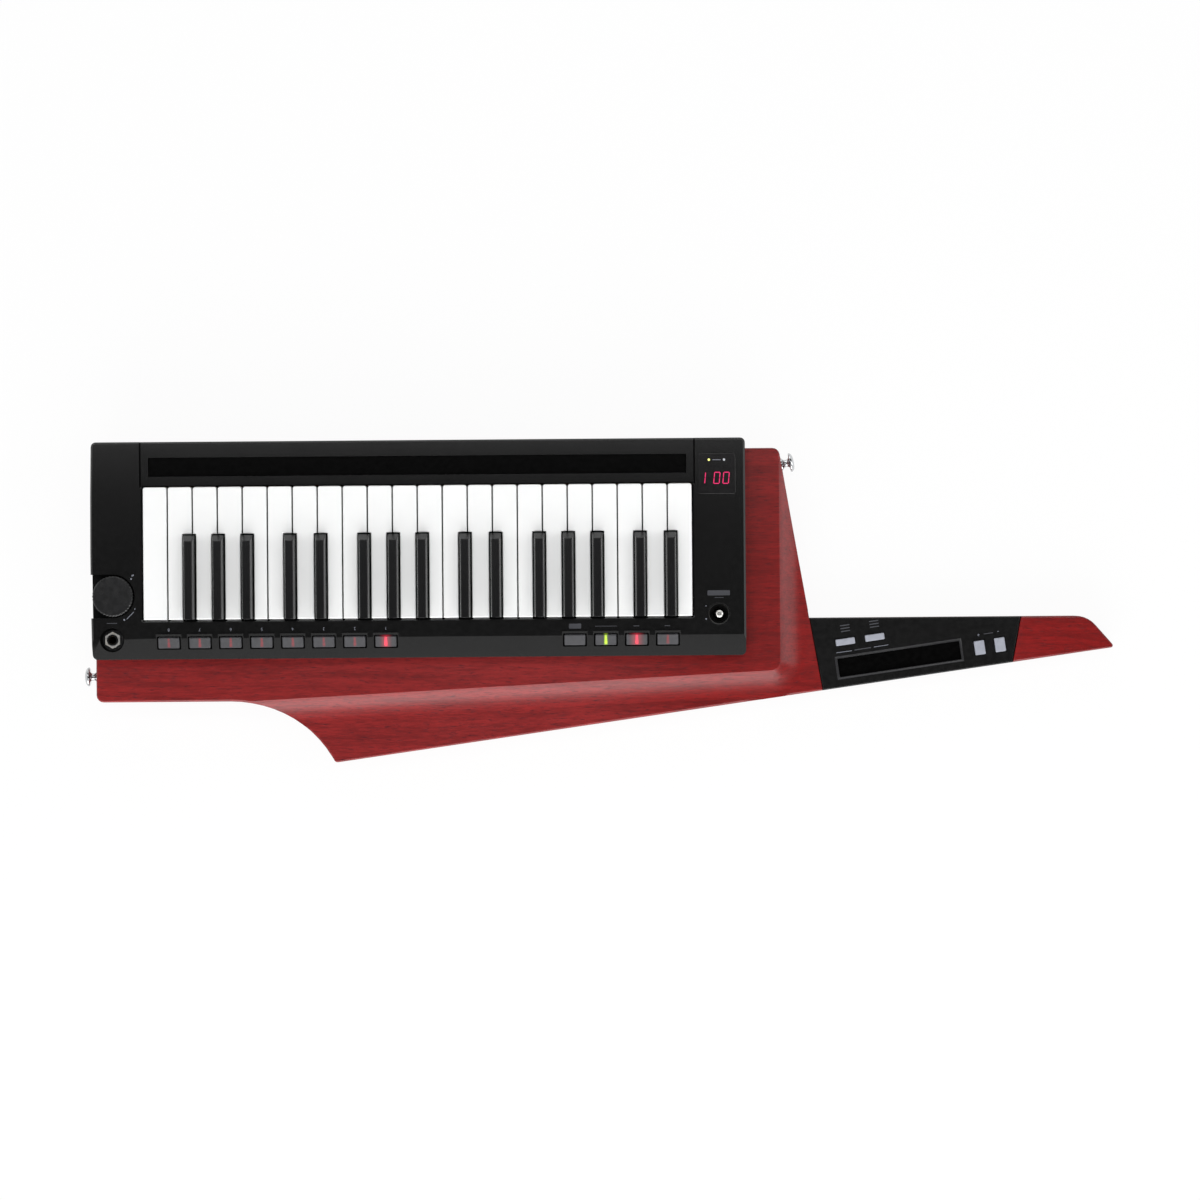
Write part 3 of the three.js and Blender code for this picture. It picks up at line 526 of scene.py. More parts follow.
@dataclass(frozen=True)
class WoodFinish:
    """Stained wood under satin lacquer, with its grain along X.

    Attributes:
        name: The material's name.
        light: The colour of its light figure.
        deep: The colour of its dark figure.
        pore: The colour in its pores.
        neck_shade: Painted shade: what the colour is multiplied by where the wood is darkest, near
            the neck, standing in for the weaker light there.
        roughness: How matt the lacquer is.
        sheen: How strongly the lacquer mirrors, 0.5 for common varnish.
        neck_shade_span: Where the painted shade starts and where it is darkest, along X.
    """

    name: str
    light: Colour
    deep: Colour
    pore: Colour
    neck_shade: Colour
    roughness: float
    sheen: float
    neck_shade_span: tuple[float, float] = (120 * MM, 260 * MM)

    def build(self, effects: Effects) -> bpy.types.Material:
        """Builds the material.

        Args:
            effects: The shared effects.

        Returns:
            The material.
        """
        material, wiring, shader = start_material(self.name)
        position = wiring.position()
        sway = wiring.noise(wiring.stretched(position, (7, 16, 16)), 1.0, 2.0)
        swayed = wiring.node(
            "ShaderNodeVectorMath", {1: (0.0, 0.008, 0.008)}, operation="MULTIPLY_ADD"
        )
        wiring.feed(swayed.inputs[0], sway)
        wiring.feed(swayed.inputs[2], position)
        broad = wiring.stretched(swayed.outputs[0], (11, 170, 170))
        bands = wiring.noise(broad, 1.0, 3.0, 0.6)
        narrow = wiring.stretched(swayed.outputs[0], (85, 760, 760))
        streaks = wiring.noise(narrow, 1.0, 4.0, 0.7)
        figure = wiring.math(
            "ADD", wiring.math("MULTIPLY", bands, 0.45), wiring.math("MULTIPLY", streaks, 0.55)
        )
        base = wiring.mix(wiring.span(figure, 0.36, 0.64), self.deep, self.light)
        fine = wiring.stretched(swayed.outputs[0], (130, 1150, 1150))
        pores = wiring.noise(fine, 1.0, 2.0, 0.6)
        open_pores = wiring.span(pores, 0.57, 0.7)
        shown = wiring.math("MULTIPLY", open_pores, 0.75)
        base = wiring.mix(shown, base, self.pore)
        # Painted shade: the wood darkens towards the neck, where less light falls on it.
        along = wiring.node("ShaderNodeSeparateXYZ", {0: position}).outputs["X"]
        neck_shade_share = wiring.span(along, *self.neck_shade_span)
        tone = wiring.mix(neck_shade_share, (1, 1, 1), self.neck_shade)
        shaded_base = wiring.node("ShaderNodeVectorMath", {0: base, 1: tone}, operation="MULTIPLY")
        wiring.feed(shader.inputs["Base Color"], shaded_base.outputs[0])
        marks = effects.place(wiring, effects.handling, {"Vector": position, "Size": 9.0})
        worn = effects.place(wiring, effects.wear, {"Vector": position, "Amount": 0.5})
        rough = wiring.math("MULTIPLY_ADD", marks["Mask"], 0.1)
        rough.node.inputs[2].default_value = self.roughness
        wiring.feed(
            shader.inputs["Roughness"],
            wiring.math("SUBTRACT", rough, wiring.math("MULTIPLY", worn["Mask"], 0.08)),
        )
        relief = wiring.math("SUBTRACT", wiring.math("MULTIPLY", streaks, 0.4), open_pores)
        bump = wiring.node(
            "ShaderNodeBump", {"Height": relief, "Distance": 0.05 * MM, "Strength": 0.6}
        )
        wiring.feed(shader.inputs["Normal"], bump.outputs[0])
        shader.inputs["Specular IOR Level"].default_value = self.sheen
        return material


@dataclass(frozen=True)
class MetalFinish:
    """Bright plated metal with the fine lines of its turning.

    Attributes:
        name: The material's name.
        colour: The metal's colour.
        shade: The colour where it is tarnished.
        roughness: How dull it is.
        lines: How often the fine lines repeat along each axis, per metre.
    """

    name: str
    colour: Colour
    shade: Colour
    roughness: float
    lines: tuple[float, float, float]

    def build(self, effects: Effects) -> bpy.types.Material:
        """Builds the material.

        Args:
            effects: The shared effects.

        Returns:
            The material.
        """
        material, wiring, shader = start_material(self.name)
        position = wiring.position()
        dull = effects.place(wiring, effects.handling, {"Vector": position, "Size": 160.0})
        marks = dull["Mask"]
        wiring.feed(shader.inputs["Base Color"], wiring.mix(marks, self.colour, self.shade))
        shader.inputs["Metallic"].default_value = 1.0
        rough = wiring.math("MULTIPLY_ADD", marks, 0.12)
        rough.node.inputs[2].default_value = self.roughness
        wiring.feed(shader.inputs["Roughness"], rough)
        lines = effects.place(wiring, effects.lines, {"Vector": position, "Along": self.lines})
        bump = wiring.node(
            "ShaderNodeBump", {"Height": lines["Height"], "Distance": 0.004 * MM, "Strength": 0.5}
        )
        wiring.feed(shader.inputs["Normal"], bump.outputs[0])
        return material


@dataclass(frozen=True)
class LampFinish:
    """A lit or unlit lamp window.

    Attributes:
        name: The material's name.
        colour: The window's own colour.
        light: The colour of its light.
        strength: How strong the light is.
    """

    name: str
    colour: Colour
    light: Colour
    strength: float

    def build(self, effects: Effects) -> bpy.types.Material:
        """Builds the material.

        Args:
            effects: The shared effects.

        Returns:
            The material.
        """
        material, wiring, shader = start_material(self.name)
        position = wiring.position()
        grain = effects.place(
            wiring, effects.grain, {"Vector": position, "Fineness": 2400.0, "Cloud": 900.0}
        )
        tone = wiring.span(grain["Clouding"], 0.3, 0.7)
        dim = tuple(c * 0.75 for c in self.colour)
        wiring.feed(shader.inputs["Base Color"], wiring.mix(tone, dim, self.colour))
        soft = tuple(c * 0.8 for c in self.light)
        wiring.feed(shader.inputs["Emission Color"], wiring.mix(tone, soft, self.light))
        shader.inputs["Emission Strength"].default_value = self.strength
        shader.inputs["Roughness"].default_value = 0.25
        return material


class Finish(Enum):
    """The finishes of the keytar's surfaces."""

    RED_WOOD = WoodFinish(
        "red_stained_wood",
        light=tint(143, 34, 34),
        deep=tint(110, 25, 26),
        pore=tint(66, 18, 27),
        # The painted shade towards the neck.
        neck_shade=(0.87, 0.46, 0.44),
        roughness=0.3,
        sheen=0.35,
    )
    CASE = MouldedFinish(
        "case_black", tint(9, 9, 9), 0.19, depth=0.012 * MM, wear=0.2, handled=0.02
    )
    CHASSIS = MouldedFinish("chassis_grey", tint(20, 20, 21), 0.6)
    BACK_PLATE = MouldedFinish(
        "back_plate_black", tint(26, 26, 28), 0.62, grain=1.1 * MM, depth=0.09 * MM, clouding=0.15
    )
    NECK_PANEL = MouldedFinish(
        "neck_panel_black",
        tint(9, 9, 9),
        0.24,
        depth=0.006 * MM,
        clouding=0.06,
        wear=0.3,
        sheen=0.38,
        handled=0.015,
    )
    RIBBON_FRAME = MouldedFinish("ribbon_frame_grey", tint(34, 34, 36), 0.36, wear=0.2)
    WHITE_KEY = MouldedFinish(
        "white_key_gloss",
        (0.92, 0.925, 0.92),
        0.3,
        grain=2 * MM,
        depth=0.004 * MM,
        clouding=0.01,
        wear=0.0,
        coat=0.3,
        handled=0.012,
    )
    # Painted shade: the sides of the white keys are painted nearly black to stand in for the shade
    # in the gaps between them.
    KEY_SIDE = MouldedFinish("white_key_side", (0.06, 0.06, 0.057), 0.6, clouding=0.1, wear=0.0)
    BLACK_KEY = MouldedFinish(
        "black_key_satin",
        tint(13, 13, 14),
        0.28,
        grain=0.5 * MM,
        depth=0.01 * MM,
        clouding=0.08,
        wear=0.12,
        sheen=0.42,
        handled=0.03,
    )
    CAP_GREY = MouldedFinish(
        "button_grey", tint(52, 52, 55), 0.6, grain=0.5 * MM, ribs=Ribs((20, 1500, 900), 0.05 * MM)
    )
    CAP_SILVER = MouldedFinish(
        "button_silver", tint(147, 150, 160), 0.5, grain=0.4 * MM, clouding=0.05, wear=0.3
    )
    # Its strong edge wear lightens the ribbed chamfer: partly wear, partly a painted highlight of
    # the rim.
    KNOB = MouldedFinish(
        "knob_black",
        tint(11, 11, 12),
        0.38,
        grain=0.5 * MM,
        depth=0.002 * MM,
        clouding=0.04,
        wear=0.8,
        sheen=0.3,
        handled=0.01,
    )
    FILM = MouldedFinish(
        "ribbon_film", tint(2, 2, 2), 0.3, grain=0.9 * MM, depth=0.003 * MM, wear=0.1, sheen=0.03
    )
    WINDOW = MouldedFinish(
        "display_smoked", tint(14, 13, 14), 0.16, grain=3 * MM, depth=0.002 * MM, coat=0.4
    )
    # Painted shade: a near-black finish laid in recesses, under cap flanges and on sheets in gaps,
    # where shade falls.
    DARK = MouldedFinish("recess_black", tint(5, 5, 5), 0.7, wear=0.0, sheen=0.15)
    PRINT = MouldedFinish("print_grey", tint(124, 127, 137), 0.5, clouding=0.05, wear=0.0)
    PRINT_DIM = MouldedFinish("print_dark_grey", tint(60, 61, 66), 0.5, clouding=0.05, wear=0.0)
    NICKEL = MetalFinish(
        "nickel_plate",
        colour=(0.86, 0.85, 0.82),
        shade=(0.62, 0.55, 0.44),
        roughness=0.36,
        lines=(900, 900, 2600),
    )
    CHROME = MetalFinish(
        "chrome_plate",
        colour=(0.6, 0.61, 0.62),
        shade=(0.4, 0.41, 0.42),
        roughness=0.16,
        lines=(1800, 1800, 1800),
    )
    BRASS = MetalFinish(
        "contact_brass",
        colour=(0.6, 0.42, 0.2),
        shade=(0.3, 0.2, 0.1),
        roughness=0.3,
        lines=(900, 900, 900),
    )
    SCREW = MetalFinish(
        "screw_black",
        colour=(0.05, 0.05, 0.052),
        shade=(0.12, 0.12, 0.12),
        roughness=0.35,
        lines=(900, 900, 900),
    )
    LAMP_YELLOW = LampFinish(
        "lamp_yellow_lit", tint(240, 245, 150), light=tint(240, 240, 120), strength=1.0
    )
    LAMP_WHITE = LampFinish(
        "lamp_clear", tint(190, 194, 200), light=tint(190, 195, 200), strength=0.25
    )
    DIGIT = LampFinish(
        "digit_red_lit", tint(150, 20, 60), light=tint(238, 44, 112), strength=0.95
    )


class Paints:
    """Builds each finish once, when it is first used."""

    def __init__(self, effects: Effects) -> None:
        """Keeps the shared effects."""
        self.effects = effects
        self.made: dict[str, bpy.types.Material] = {}

    def of(self, finish: Finish) -> bpy.types.Material:
        """The material of a named finish."""
        return self.special(finish.value)

    def special(
        self, finish: MouldedFinish | WoodFinish | MetalFinish | LampFinish
    ) -> bpy.types.Material:
        """The material of a finish of one piece."""
        if finish.name not in self.made:
            self.made[finish.name] = finish.build(self.effects)
        return self.made[finish.name]


class Modeller:
    """Turns bmeshes into finished pieces of the keytar.

    Attributes:
        SHARP: The least angle of a sharp edge.
        CREASE: The least angle of a crease between two broad faces that look up.
        BROAD: The least area of such a face.
        UPWARD: How far up the normal of such a face points.
        FLAT: The largest angle between two faces that become one.
        MERGE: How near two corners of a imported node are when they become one.
        paints: The materials.
        count: The number of pieces made so far.
    """

    SHARP = math.radians(38)
    CREASE = math.radians(12)
    BROAD = 3 * MM * MM
    UPWARD = 0.8
    FLAT = math.radians(0.3)
    MERGE = 2e-6

    def __init__(self, paints: Paints) -> None:
        """Keeps the paints and counts the pieces."""
        self.paints = paints
        self.count = 0

    def finish(
        self,
        bm: bmesh.types.BMesh,
        name: str,
        material: bpy.types.Material,
        body: str,
        slot: str,
        replaces: str | None = None,
        turn_out: bool = True,
    ) -> bpy.types.Object:
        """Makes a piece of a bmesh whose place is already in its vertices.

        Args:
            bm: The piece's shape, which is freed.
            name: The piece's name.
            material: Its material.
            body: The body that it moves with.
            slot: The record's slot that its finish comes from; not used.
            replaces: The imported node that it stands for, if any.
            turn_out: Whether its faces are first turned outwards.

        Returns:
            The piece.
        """
        if turn_out:
            bmesh.ops.recalc_face_normals(bm, faces=bm.faces[:])
        for face in bm.faces:
            face.smooth = True
        for edge in bm.edges:
            edge.smooth = not self.is_crisp(edge)
        mesh = bpy.data.meshes.new(name)
        bm.to_mesh(mesh)
        bm.free()
        mesh.materials.append(material)
        piece = bpy.data.objects.new(name, mesh)
        bpy.context.scene.collection.objects.link(piece)
        weighted = piece.modifiers.new("even_normals", "WEIGHTED_NORMAL")
        weighted.keep_sharp = True
        weighted.weight = 90
        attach(piece, body)
        if replaces:
            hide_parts(replaces)
        self.count += 1
        LOG.info("%s rides on %s", name, body)
        return piece

    def is_crisp(self, edge: bmesh.types.BMEdge) -> bool:
        """Whether an edge is sharp, or a crease between two broad faces that look up."""
        if not edge.is_manifold:
            return False
        angle = edge.calc_face_angle(0)
        faces = edge.link_faces
        broad = all(f.normal.z > self.UPWARD and f.calc_area() > self.BROAD for f in faces)
        return angle > self.SHARP or (broad and angle > self.CREASE)

    def copy_of(self, node: str) -> bmesh.types.BMesh:
        """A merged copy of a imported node's shape, with its flat faces made whole."""
        bm = bmesh.new()
        bm.from_mesh(frame["nodes"][node].data)
        bmesh.ops.remove_doubles(bm, verts=bm.verts[:], dist=self.MERGE)
        bmesh.ops.dissolve_limit(
            bm, angle_limit=self.FLAT, verts=bm.verts[:], edges=bm.edges[:]
        )
        return bm

    def refined(
        self,
        node: str,
        finish: Finish | MouldedFinish,
        bevel: float,
        segments: int = 2,
        sharper: float = 30.0,
        accent: tuple[Finish, FaceTest] | None = None,
    ) -> bpy.types.Object:
        """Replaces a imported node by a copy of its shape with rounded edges.

        Args:
            node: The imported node.
            finish: The piece's finish.
            bevel: The width of the rounding, or 0 for none.
            segments: The number of faces across the rounding.
            sharper: The least angle of an edge that is rounded, in degrees.
            accent: Another finish, and the test of the faces that have it.

        Returns:
            The piece.
        """
        bm = self.copy_of(node)
        self.soften(bm, bevel, segments, sharper)
        if accent:
            for face in bm.faces:
                face.material_index = int(accent[1](face))
        material = (
            self.paints.of(finish) if isinstance(finish, Finish) else self.paints.special(finish)
        )
        body = frame["nodes"][node]["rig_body"]
        piece = self.finish(bm, f"{node}_dressed", material, body, slot_of(node), node, False)
        if accent:
            piece.data.materials.append(self.paints.of(accent[0]))
        return piece

    def print_marks(
        self,
        surface: str,
        slot: str,
        bright: list[bmesh.types.BMesh],
        dim: list[bmesh.types.BMesh],
        seat: Matrix,
    ) -> None:
        """Makes one piece of the bright print on a surface and one of the dim print.

        Args:
            surface: The surface's name.
            slot: The record's slot of the surface.
            bright: The bright marks.
            dim: The dim marks.
            seat: Moves the marks to their place.
        """
        for kind, shapes, finish in (
            ("marks", bright, Finish.PRINT),
            ("labels", dim, Finish.PRINT_DIM),
        ):
            shape = placed(joined(shapes), seat)
            self.finish(shape, f"{surface}_{kind}", self.paints.of(finish), FIXED_BODY, slot)

    @staticmethod
    def soften(
        bm: bmesh.types.BMesh, width: float, segments: int, sharper: float = 30.0
    ) -> None:
        """Rounds the sharp edges of a shape and marks the rounding in the edge attribute.

        Args:
            bm: The shape.
            width: The width of the rounding, or 0 for none.
            segments: The number of faces across it.
            sharper: The least angle of an edge that is rounded, in degrees.
        """
        layer = bm.verts.layers.float.new("edge")
        if not width:
            return
        limit = math.radians(sharper)
        edges = [e for e in bm.edges if e.is_manifold and e.calc_face_angle(0) > limit]
        made = bmesh.ops.bevel(
            bm,
            geom=edges,
            offset=width,
            offset_type="OFFSET",
            affect="EDGES",
            segments=segments,
            profile=0.5,
            material=-1,
            clamp_overlap=True,
            loop_slide=True,
        )
        for vert in made["verts"]:
            vert[layer] = 1.0


def slot_of(node: str) -> str:
    """The record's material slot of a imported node."""
    parts = frame["record"]["subparts"]
    return next(part["material_slot"] for part in parts if part["node"] == node)


def middle(node: str) -> Vector:
    """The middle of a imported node's box."""
    low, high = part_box(node)
    return (low + high) / 2


def case_level(y: float) -> float:
    """The level of the case's surface, flat in front of the crease and sloping behind it."""
    return CASE_TOP - max(0.0, CASE_CREASE - y) * math.tan(APRON_ANGLE)


def plate_shape(
    length: float, width: float, low: float, high: float, corner: float = 0.0, edge: float = 0.0
) -> bmesh.types.BMesh:
    """A plate about the origin.

    Args:
        length: Its size along X.
        width: Its size along Y.
        low: Its underside.
        high: Its upper side.
        corner: The radius of its corners seen from above.
        edge: The rounding of its upper edge.

    Returns:
        The shape.
    """
    bm = bmesh.new()
    bmesh.ops.create_grid(bm, x_segments=1, y_segments=1, size=0.5)
    bmesh.ops.scale(bm, vec=(length, width, 1), verts=bm.verts[:])
    if corner:
        bmesh.ops.bevel(
            bm,
            geom=bm.verts[:],
            offset=corner,
            affect="VERTICES",
            segments=4,
            profile=0.5,
            material=-1,
        )
    raise_faces(bm, low, high, edge)
    return bm


def raise_faces(bm: bmesh.types.BMesh, low: float, high: float, edge: float = 0.0) -> None:
    """Gives a flat shape its thickness.

    Args:
        bm: A shape whose faces lie in the plane Z = 0.
        low: Its underside.
        high: Its upper side.
        edge: The rounding of its upper edge.
    """
    bmesh.ops.translate(bm, vec=(0, 0, low), verts=bm.verts[:])
    made = bmesh.ops.extrude_face_region(bm, geom=bm.faces[:])
    raised = [item for item in made["geom"] if isinstance(item, bmesh.types.BMVert)]
    bmesh.ops.translate(bm, vec=(0, 0, high - low), verts=raised)
    if edge:
        rim = [e for e in bm.edges if all(v in raised for v in e.verts) and e.is_manifold]
        rim = [e for e in rim if e.calc_face_angle(0) > 0.5]
        bmesh.ops.bevel(
            bm, geom=rim, offset=edge, affect="EDGES", segments=2, profile=0.5, material=-1
        )


def disc_shape(
    radius: float, low: float, high: float, steps: int = 32, edge: float = 0.0
) -> bmesh.types.BMesh:
    """A round plate about the Z axis.

    Args:
        radius: Its radius.
        low: Its underside.
        high: Its upper side.
        steps: The number of its sides.
        edge: The rounding of its upper edge.

    Returns:
        The shape.
    """
    bm = bmesh.new()
    bmesh.ops.create_circle(bm, cap_ends=True, radius=radius, segments=steps)
    raise_faces(bm, low, high, edge)
    return bm


def turned_shape(profile: Sequence[Place], steps: int = 48) -> bmesh.types.BMesh:
    """A shape turned about the Z axis.

    Args:
        profile: Its (radius, height) points, from one end of the outline to the other.
        steps: The number of its sides.

    Returns:
        The shape.
    """
    bm = bmesh.new()
    verts = [bm.verts.new((radius, 0, height)) for radius, height in profile]
    edges = [bm.edges.new(pair) for pair in zip(verts, verts[1:])]
    bmesh.ops.spin(
        bm,
        geom=verts + edges,
        cent=(0, 0, 0),
        axis=(0, 0, 1),
        angle=math.tau,
        steps=steps,
        use_merge=True,
    )
    bmesh.ops.remove_doubles(bm, verts=bm.verts[:], dist=WELD)
    return bm


def joined(shapes: Iterable[bmesh.types.BMesh]) -> bmesh.types.BMesh:
    """One shape made of several, which are freed."""
    whole = bmesh.new()
    for shape in shapes:
        scratch = bpy.data.meshes.new("scratch")
        shape.to_mesh(scratch)
        shape.free()
        whole.from_mesh(scratch)
        bpy.data.meshes.remove(scratch)
    return whole


def placed(bm: bmesh.types.BMesh, matrix: Matrix) -> bmesh.types.BMesh:
    """The same shape, moved by a matrix."""
    bmesh.ops.transform(bm, matrix=matrix, verts=bm.verts[:])
    return bm


def text_shape(words: str, height: float, thickness: float, turn: float) -> bmesh.types.BMesh:
    """Figures or signs about the origin, as thin plates.

    Args:
        words: What is written.
        height: The height of a figure.
        thickness: The thickness of the plates.
        turn: Their turn about Z, in radians.

    Returns:
        The shape.
    """
    curve = bpy.data.curves.new("figures", "FONT")
    curve.body = words
    curve.align_x = "CENTER"
    curve.align_y = "CENTER"
    curve.size = height / FIGURE_SHARE
    curve.extrude = thickness / 2
    curve.resolution_u = 3
    holder = bpy.data.objects.new("figures", curve)
    bpy.context.scene.collection.objects.link(holder)
    bpy.context.view_layer.update()
    mesh = bpy.data.meshes.new_from_object(holder)
    bm = bmesh.new()
    bm.from_mesh(mesh)
    bpy.data.objects.remove(holder)
    bpy.data.curves.remove(curve)
    bpy.data.meshes.remove(mesh)
    bmesh.ops.remove_doubles(bm, verts=bm.verts[:], dist=WELD)
    return placed(bm, Matrix.Rotation(turn, 4, "Z"))


@dataclass
class Body:
    """The carved wooden body, its strap pins and its back cover.

    Attributes:
        modeller: Makes the pieces.
        cover_screws: The places of the back cover's screws, from its middle.
        door_screws: The places of the screws beside the battery door.
        screw_head: The radius of a screw's head.
        screw_thickness: The thickness of a screw's head.
        rib_count: The number of ribs on the battery door.
        first_rib: The first rib's distance from the door's edge.
        rib_pitch: The distance from one rib to the next.
        rib_size: The length and width of a rib.
        rib_rise: The height of a rib, most of it sunk in the door.
        pin_length: The length of a strap pin.
        pin_screw: The radius and thickness of the screw in a pin's crown.
        pin_crown: How far from a pin's foot that screw's face is.
        edge_lean: How far the slanting edge, and the pin in it, lean.
        proud: How far the screws and ribs stand out of the back.
    """

    modeller: Modeller
    cover_screws: tuple[Place, ...] = tuple(
        (x * MM, y * MM) for x in (-208, -70, 70, 208) for y in (-55, 55)
    )
    door_screws: tuple[Place, ...] = ((-196 * MM, 0.0), (190 * MM, 0.0))
    screw_head: float = 3.1 * MM
    screw_thickness: float = 0.5 * MM
    rib_count: int = 5
    first_rib: float = 12.5 * MM
    rib_pitch: float = 1.7 * MM
    rib_size: tuple[float, float] = (18 * MM, 0.7 * MM)
    rib_rise: float = 0.35 * MM
    pin_length: float = 11 * MM
    pin_screw: tuple[float, float] = (2.5 * MM, 0.6 * MM)
    pin_crown: float = 10.15 * MM
    edge_lean: float = math.radians(10.1)
    proud: float = 0.05 * MM

    def build(self) -> None:
        """Builds the body's pieces."""
        make = self.modeller
        make.refined("wooden_body", Finish.RED_WOOD, 0.0)
        make.refined("back_cover", Finish.BACK_PLATE, 0.35 * MM)
        make.refined("battery_door", Finish.BACK_PLATE, 0.35 * MM)
        self._screws()
        self._door_ribs()
        self._pin("tail_strap_pin", Matrix.Rotation(-math.pi / 2, 4, "Y"))
        lean = Matrix.Rotation(self.edge_lean, 4, "Z")
        self._pin("shoulder_strap_pin", lean @ Matrix.Rotation(math.pi / 2, 4, "Y"))

    def _screws(self) -> None:
        """Sets a nearly flush cross-head screw at each place on the back."""
        paint = self.modeller.paints.of(Finish.NICKEL)
        places = self.cover_screws + self.door_screws
        for number, (x, y) in enumerate(places, 1):
            seat = Matrix.Translation((x, y, -self.proud)) @ Matrix.Rotation(math.pi, 4, "X")
            head = placed(cross_screw(self.screw_head, self.screw_thickness), seat)
            self.modeller.finish(head, f"cover_screw_{number:02d}", paint, FIXED_BODY, "nickel")

    def _door_ribs(self) -> None:
        """Low ribs beside the finger grip of the battery door."""
        low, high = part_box("battery_door")
        x = (low.x + high.x) / 2
        level = self.rib_rise - self.proud
        turn = Matrix.Rotation(math.pi, 4, "X")
        ribs = []
        for index in range(self.rib_count):
            rib = plate_shape(*self.rib_size, -0.05 * MM, self.rib_rise, 0.3 * MM, 0.12 * MM)
            y = low.y + self.first_rib + self.rib_pitch * index
            ribs.append(placed(rib, Matrix.Translation((x, y, level)) @ turn))
        paint = self.modeller.paints.of(Finish.BACK_PLATE)
        self.modeller.finish(joined(ribs), "door_ribs", paint, "battery_door", "black_plate")

    def _pin(self, node: str, stand: Matrix) -> None:
        """Replaces a strap pin by one with a rounder head and a screw in its crown.

        Args:
            node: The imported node.
            stand: Turns the pin from the Z axis to its own.
        """
        # The outline's radii and heights in millimetres, from the foot to the crown
        profile = [
            (0.0, 0.0),
            (5.5, 0.0),
            (5.6, 0.12),
            (5.6, 0.85),
            (5.3, 1.12),
            (4.5, 1.7),
            (3.5, 2.7),
            (3.05, 3.7),
            (3.0, 4.7),
            (3.1, 5.7),
            (3.6, 6.5),
            (4.5, 7.0),
            (7.2, 7.35),
            (7.8, 7.75),
            (7.9, 8.2),
            (7.7, 8.85),
            (6.9, 9.75),
            (5.6, 10.5),
            (4.2, 10.88),
            (3.4, 10.95),
            (3.1, 10.8),
            (2.6, 9.9),
            (0.0, 9.9),
        ]
        axis = stand.to_3x3() @ Vector((0, 0, 1))
        foot = middle(node) - axis * (self.pin_length / 2)
        seat = Matrix.Translation(foot) @ stand
        slot = slot_of(node)
        make = self.modeller
        shape = placed(turned_shape([(r * MM, h * MM) for r, h in profile], 56), seat)
        chrome = make.paints.of(Finish.CHROME)
        make.finish(shape, f"{node}_dressed", chrome, FIXED_BODY, slot, node)
        crown = seat @ Matrix.Translation((0, 0, self.pin_crown))
        screw = placed(cross_screw(*self.pin_screw), crown)
        make.finish(screw, f"{node}_screw", make.paints.of(Finish.NICKEL), FIXED_BODY, slot)


def cross_screw(radius: float, thickness: float) -> bmesh.types.BMesh:
    """The head of a cross-head screw, facing up about the Z axis.

    Args:
        radius: The head's radius.
        thickness: The head's thickness.

    Returns:
        The shape.
    """
    bm = bmesh.new()
    arm = radius * 0.6
    half = radius * 0.13
    crown = 0.93  # how much of the radius is inside the rounded rim
    outline = []
    for quarter in range(4):
        turn = Matrix.Rotation(quarter * math.pi / 2, 3, "Z")
        corners = ((half, half), (half, arm), (-half, arm))
        outline += [turn @ Vector((x, y, 0)) for x, y in corners]
    slot = [bm.verts.new(corner) for corner in outline]
    slot_edges = [bm.edges.new((slot[i], slot[(i + 1) % len(slot)])) for i in range(len(slot))]
    made = bmesh.ops.create_circle(bm, cap_ends=False, radius=radius * crown, segments=24)
    rim_edges = list({edge for vert in made["verts"] for edge in vert.link_edges})
    bmesh.ops.bridge_loops(bm, edges=slot_edges + rim_edges)
    sunk = bmesh.ops.extrude_edge_only(bm, edges=slot_edges)
    floor = [item for item in sunk["geom"] if isinstance(item, bmesh.types.BMVert)]
    bmesh.ops.translate(bm, vec=(0, 0, -thickness * 0.8), verts=floor)
    bmesh.ops.scale(bm, vec=(0.75, 0.75, 1), verts=floor)
    sides = [item for item in sunk["geom"] if isinstance(item, bmesh.types.BMEdge)]
    floor_edges = [edge for edge in sides if all(vert in floor for vert in edge.verts)]
    bmesh.ops.contextual_create(bm, geom=floor_edges)
    for scale, drop in ((1 / crown, -0.25), (1.0, -0.75)):
        ring = bmesh.ops.extrude_edge_only(bm, edges=rim_edges)
        moved = [item for item in ring["geom"] if isinstance(item, bmesh.types.BMVert)]
        bmesh.ops.scale(bm, vec=(scale, scale, 1), verts=moved)
        bmesh.ops.translate(bm, vec=(0, 0, drop * thickness), verts=moved)
        rim_edges = [
            item
            for item in ring["geom"]
            if isinstance(item, bmesh.types.BMEdge) and all(v in moved for v in item.verts)
        ]
    bmesh.ops.contextual_create(bm, geom=rim_edges)
    return bm


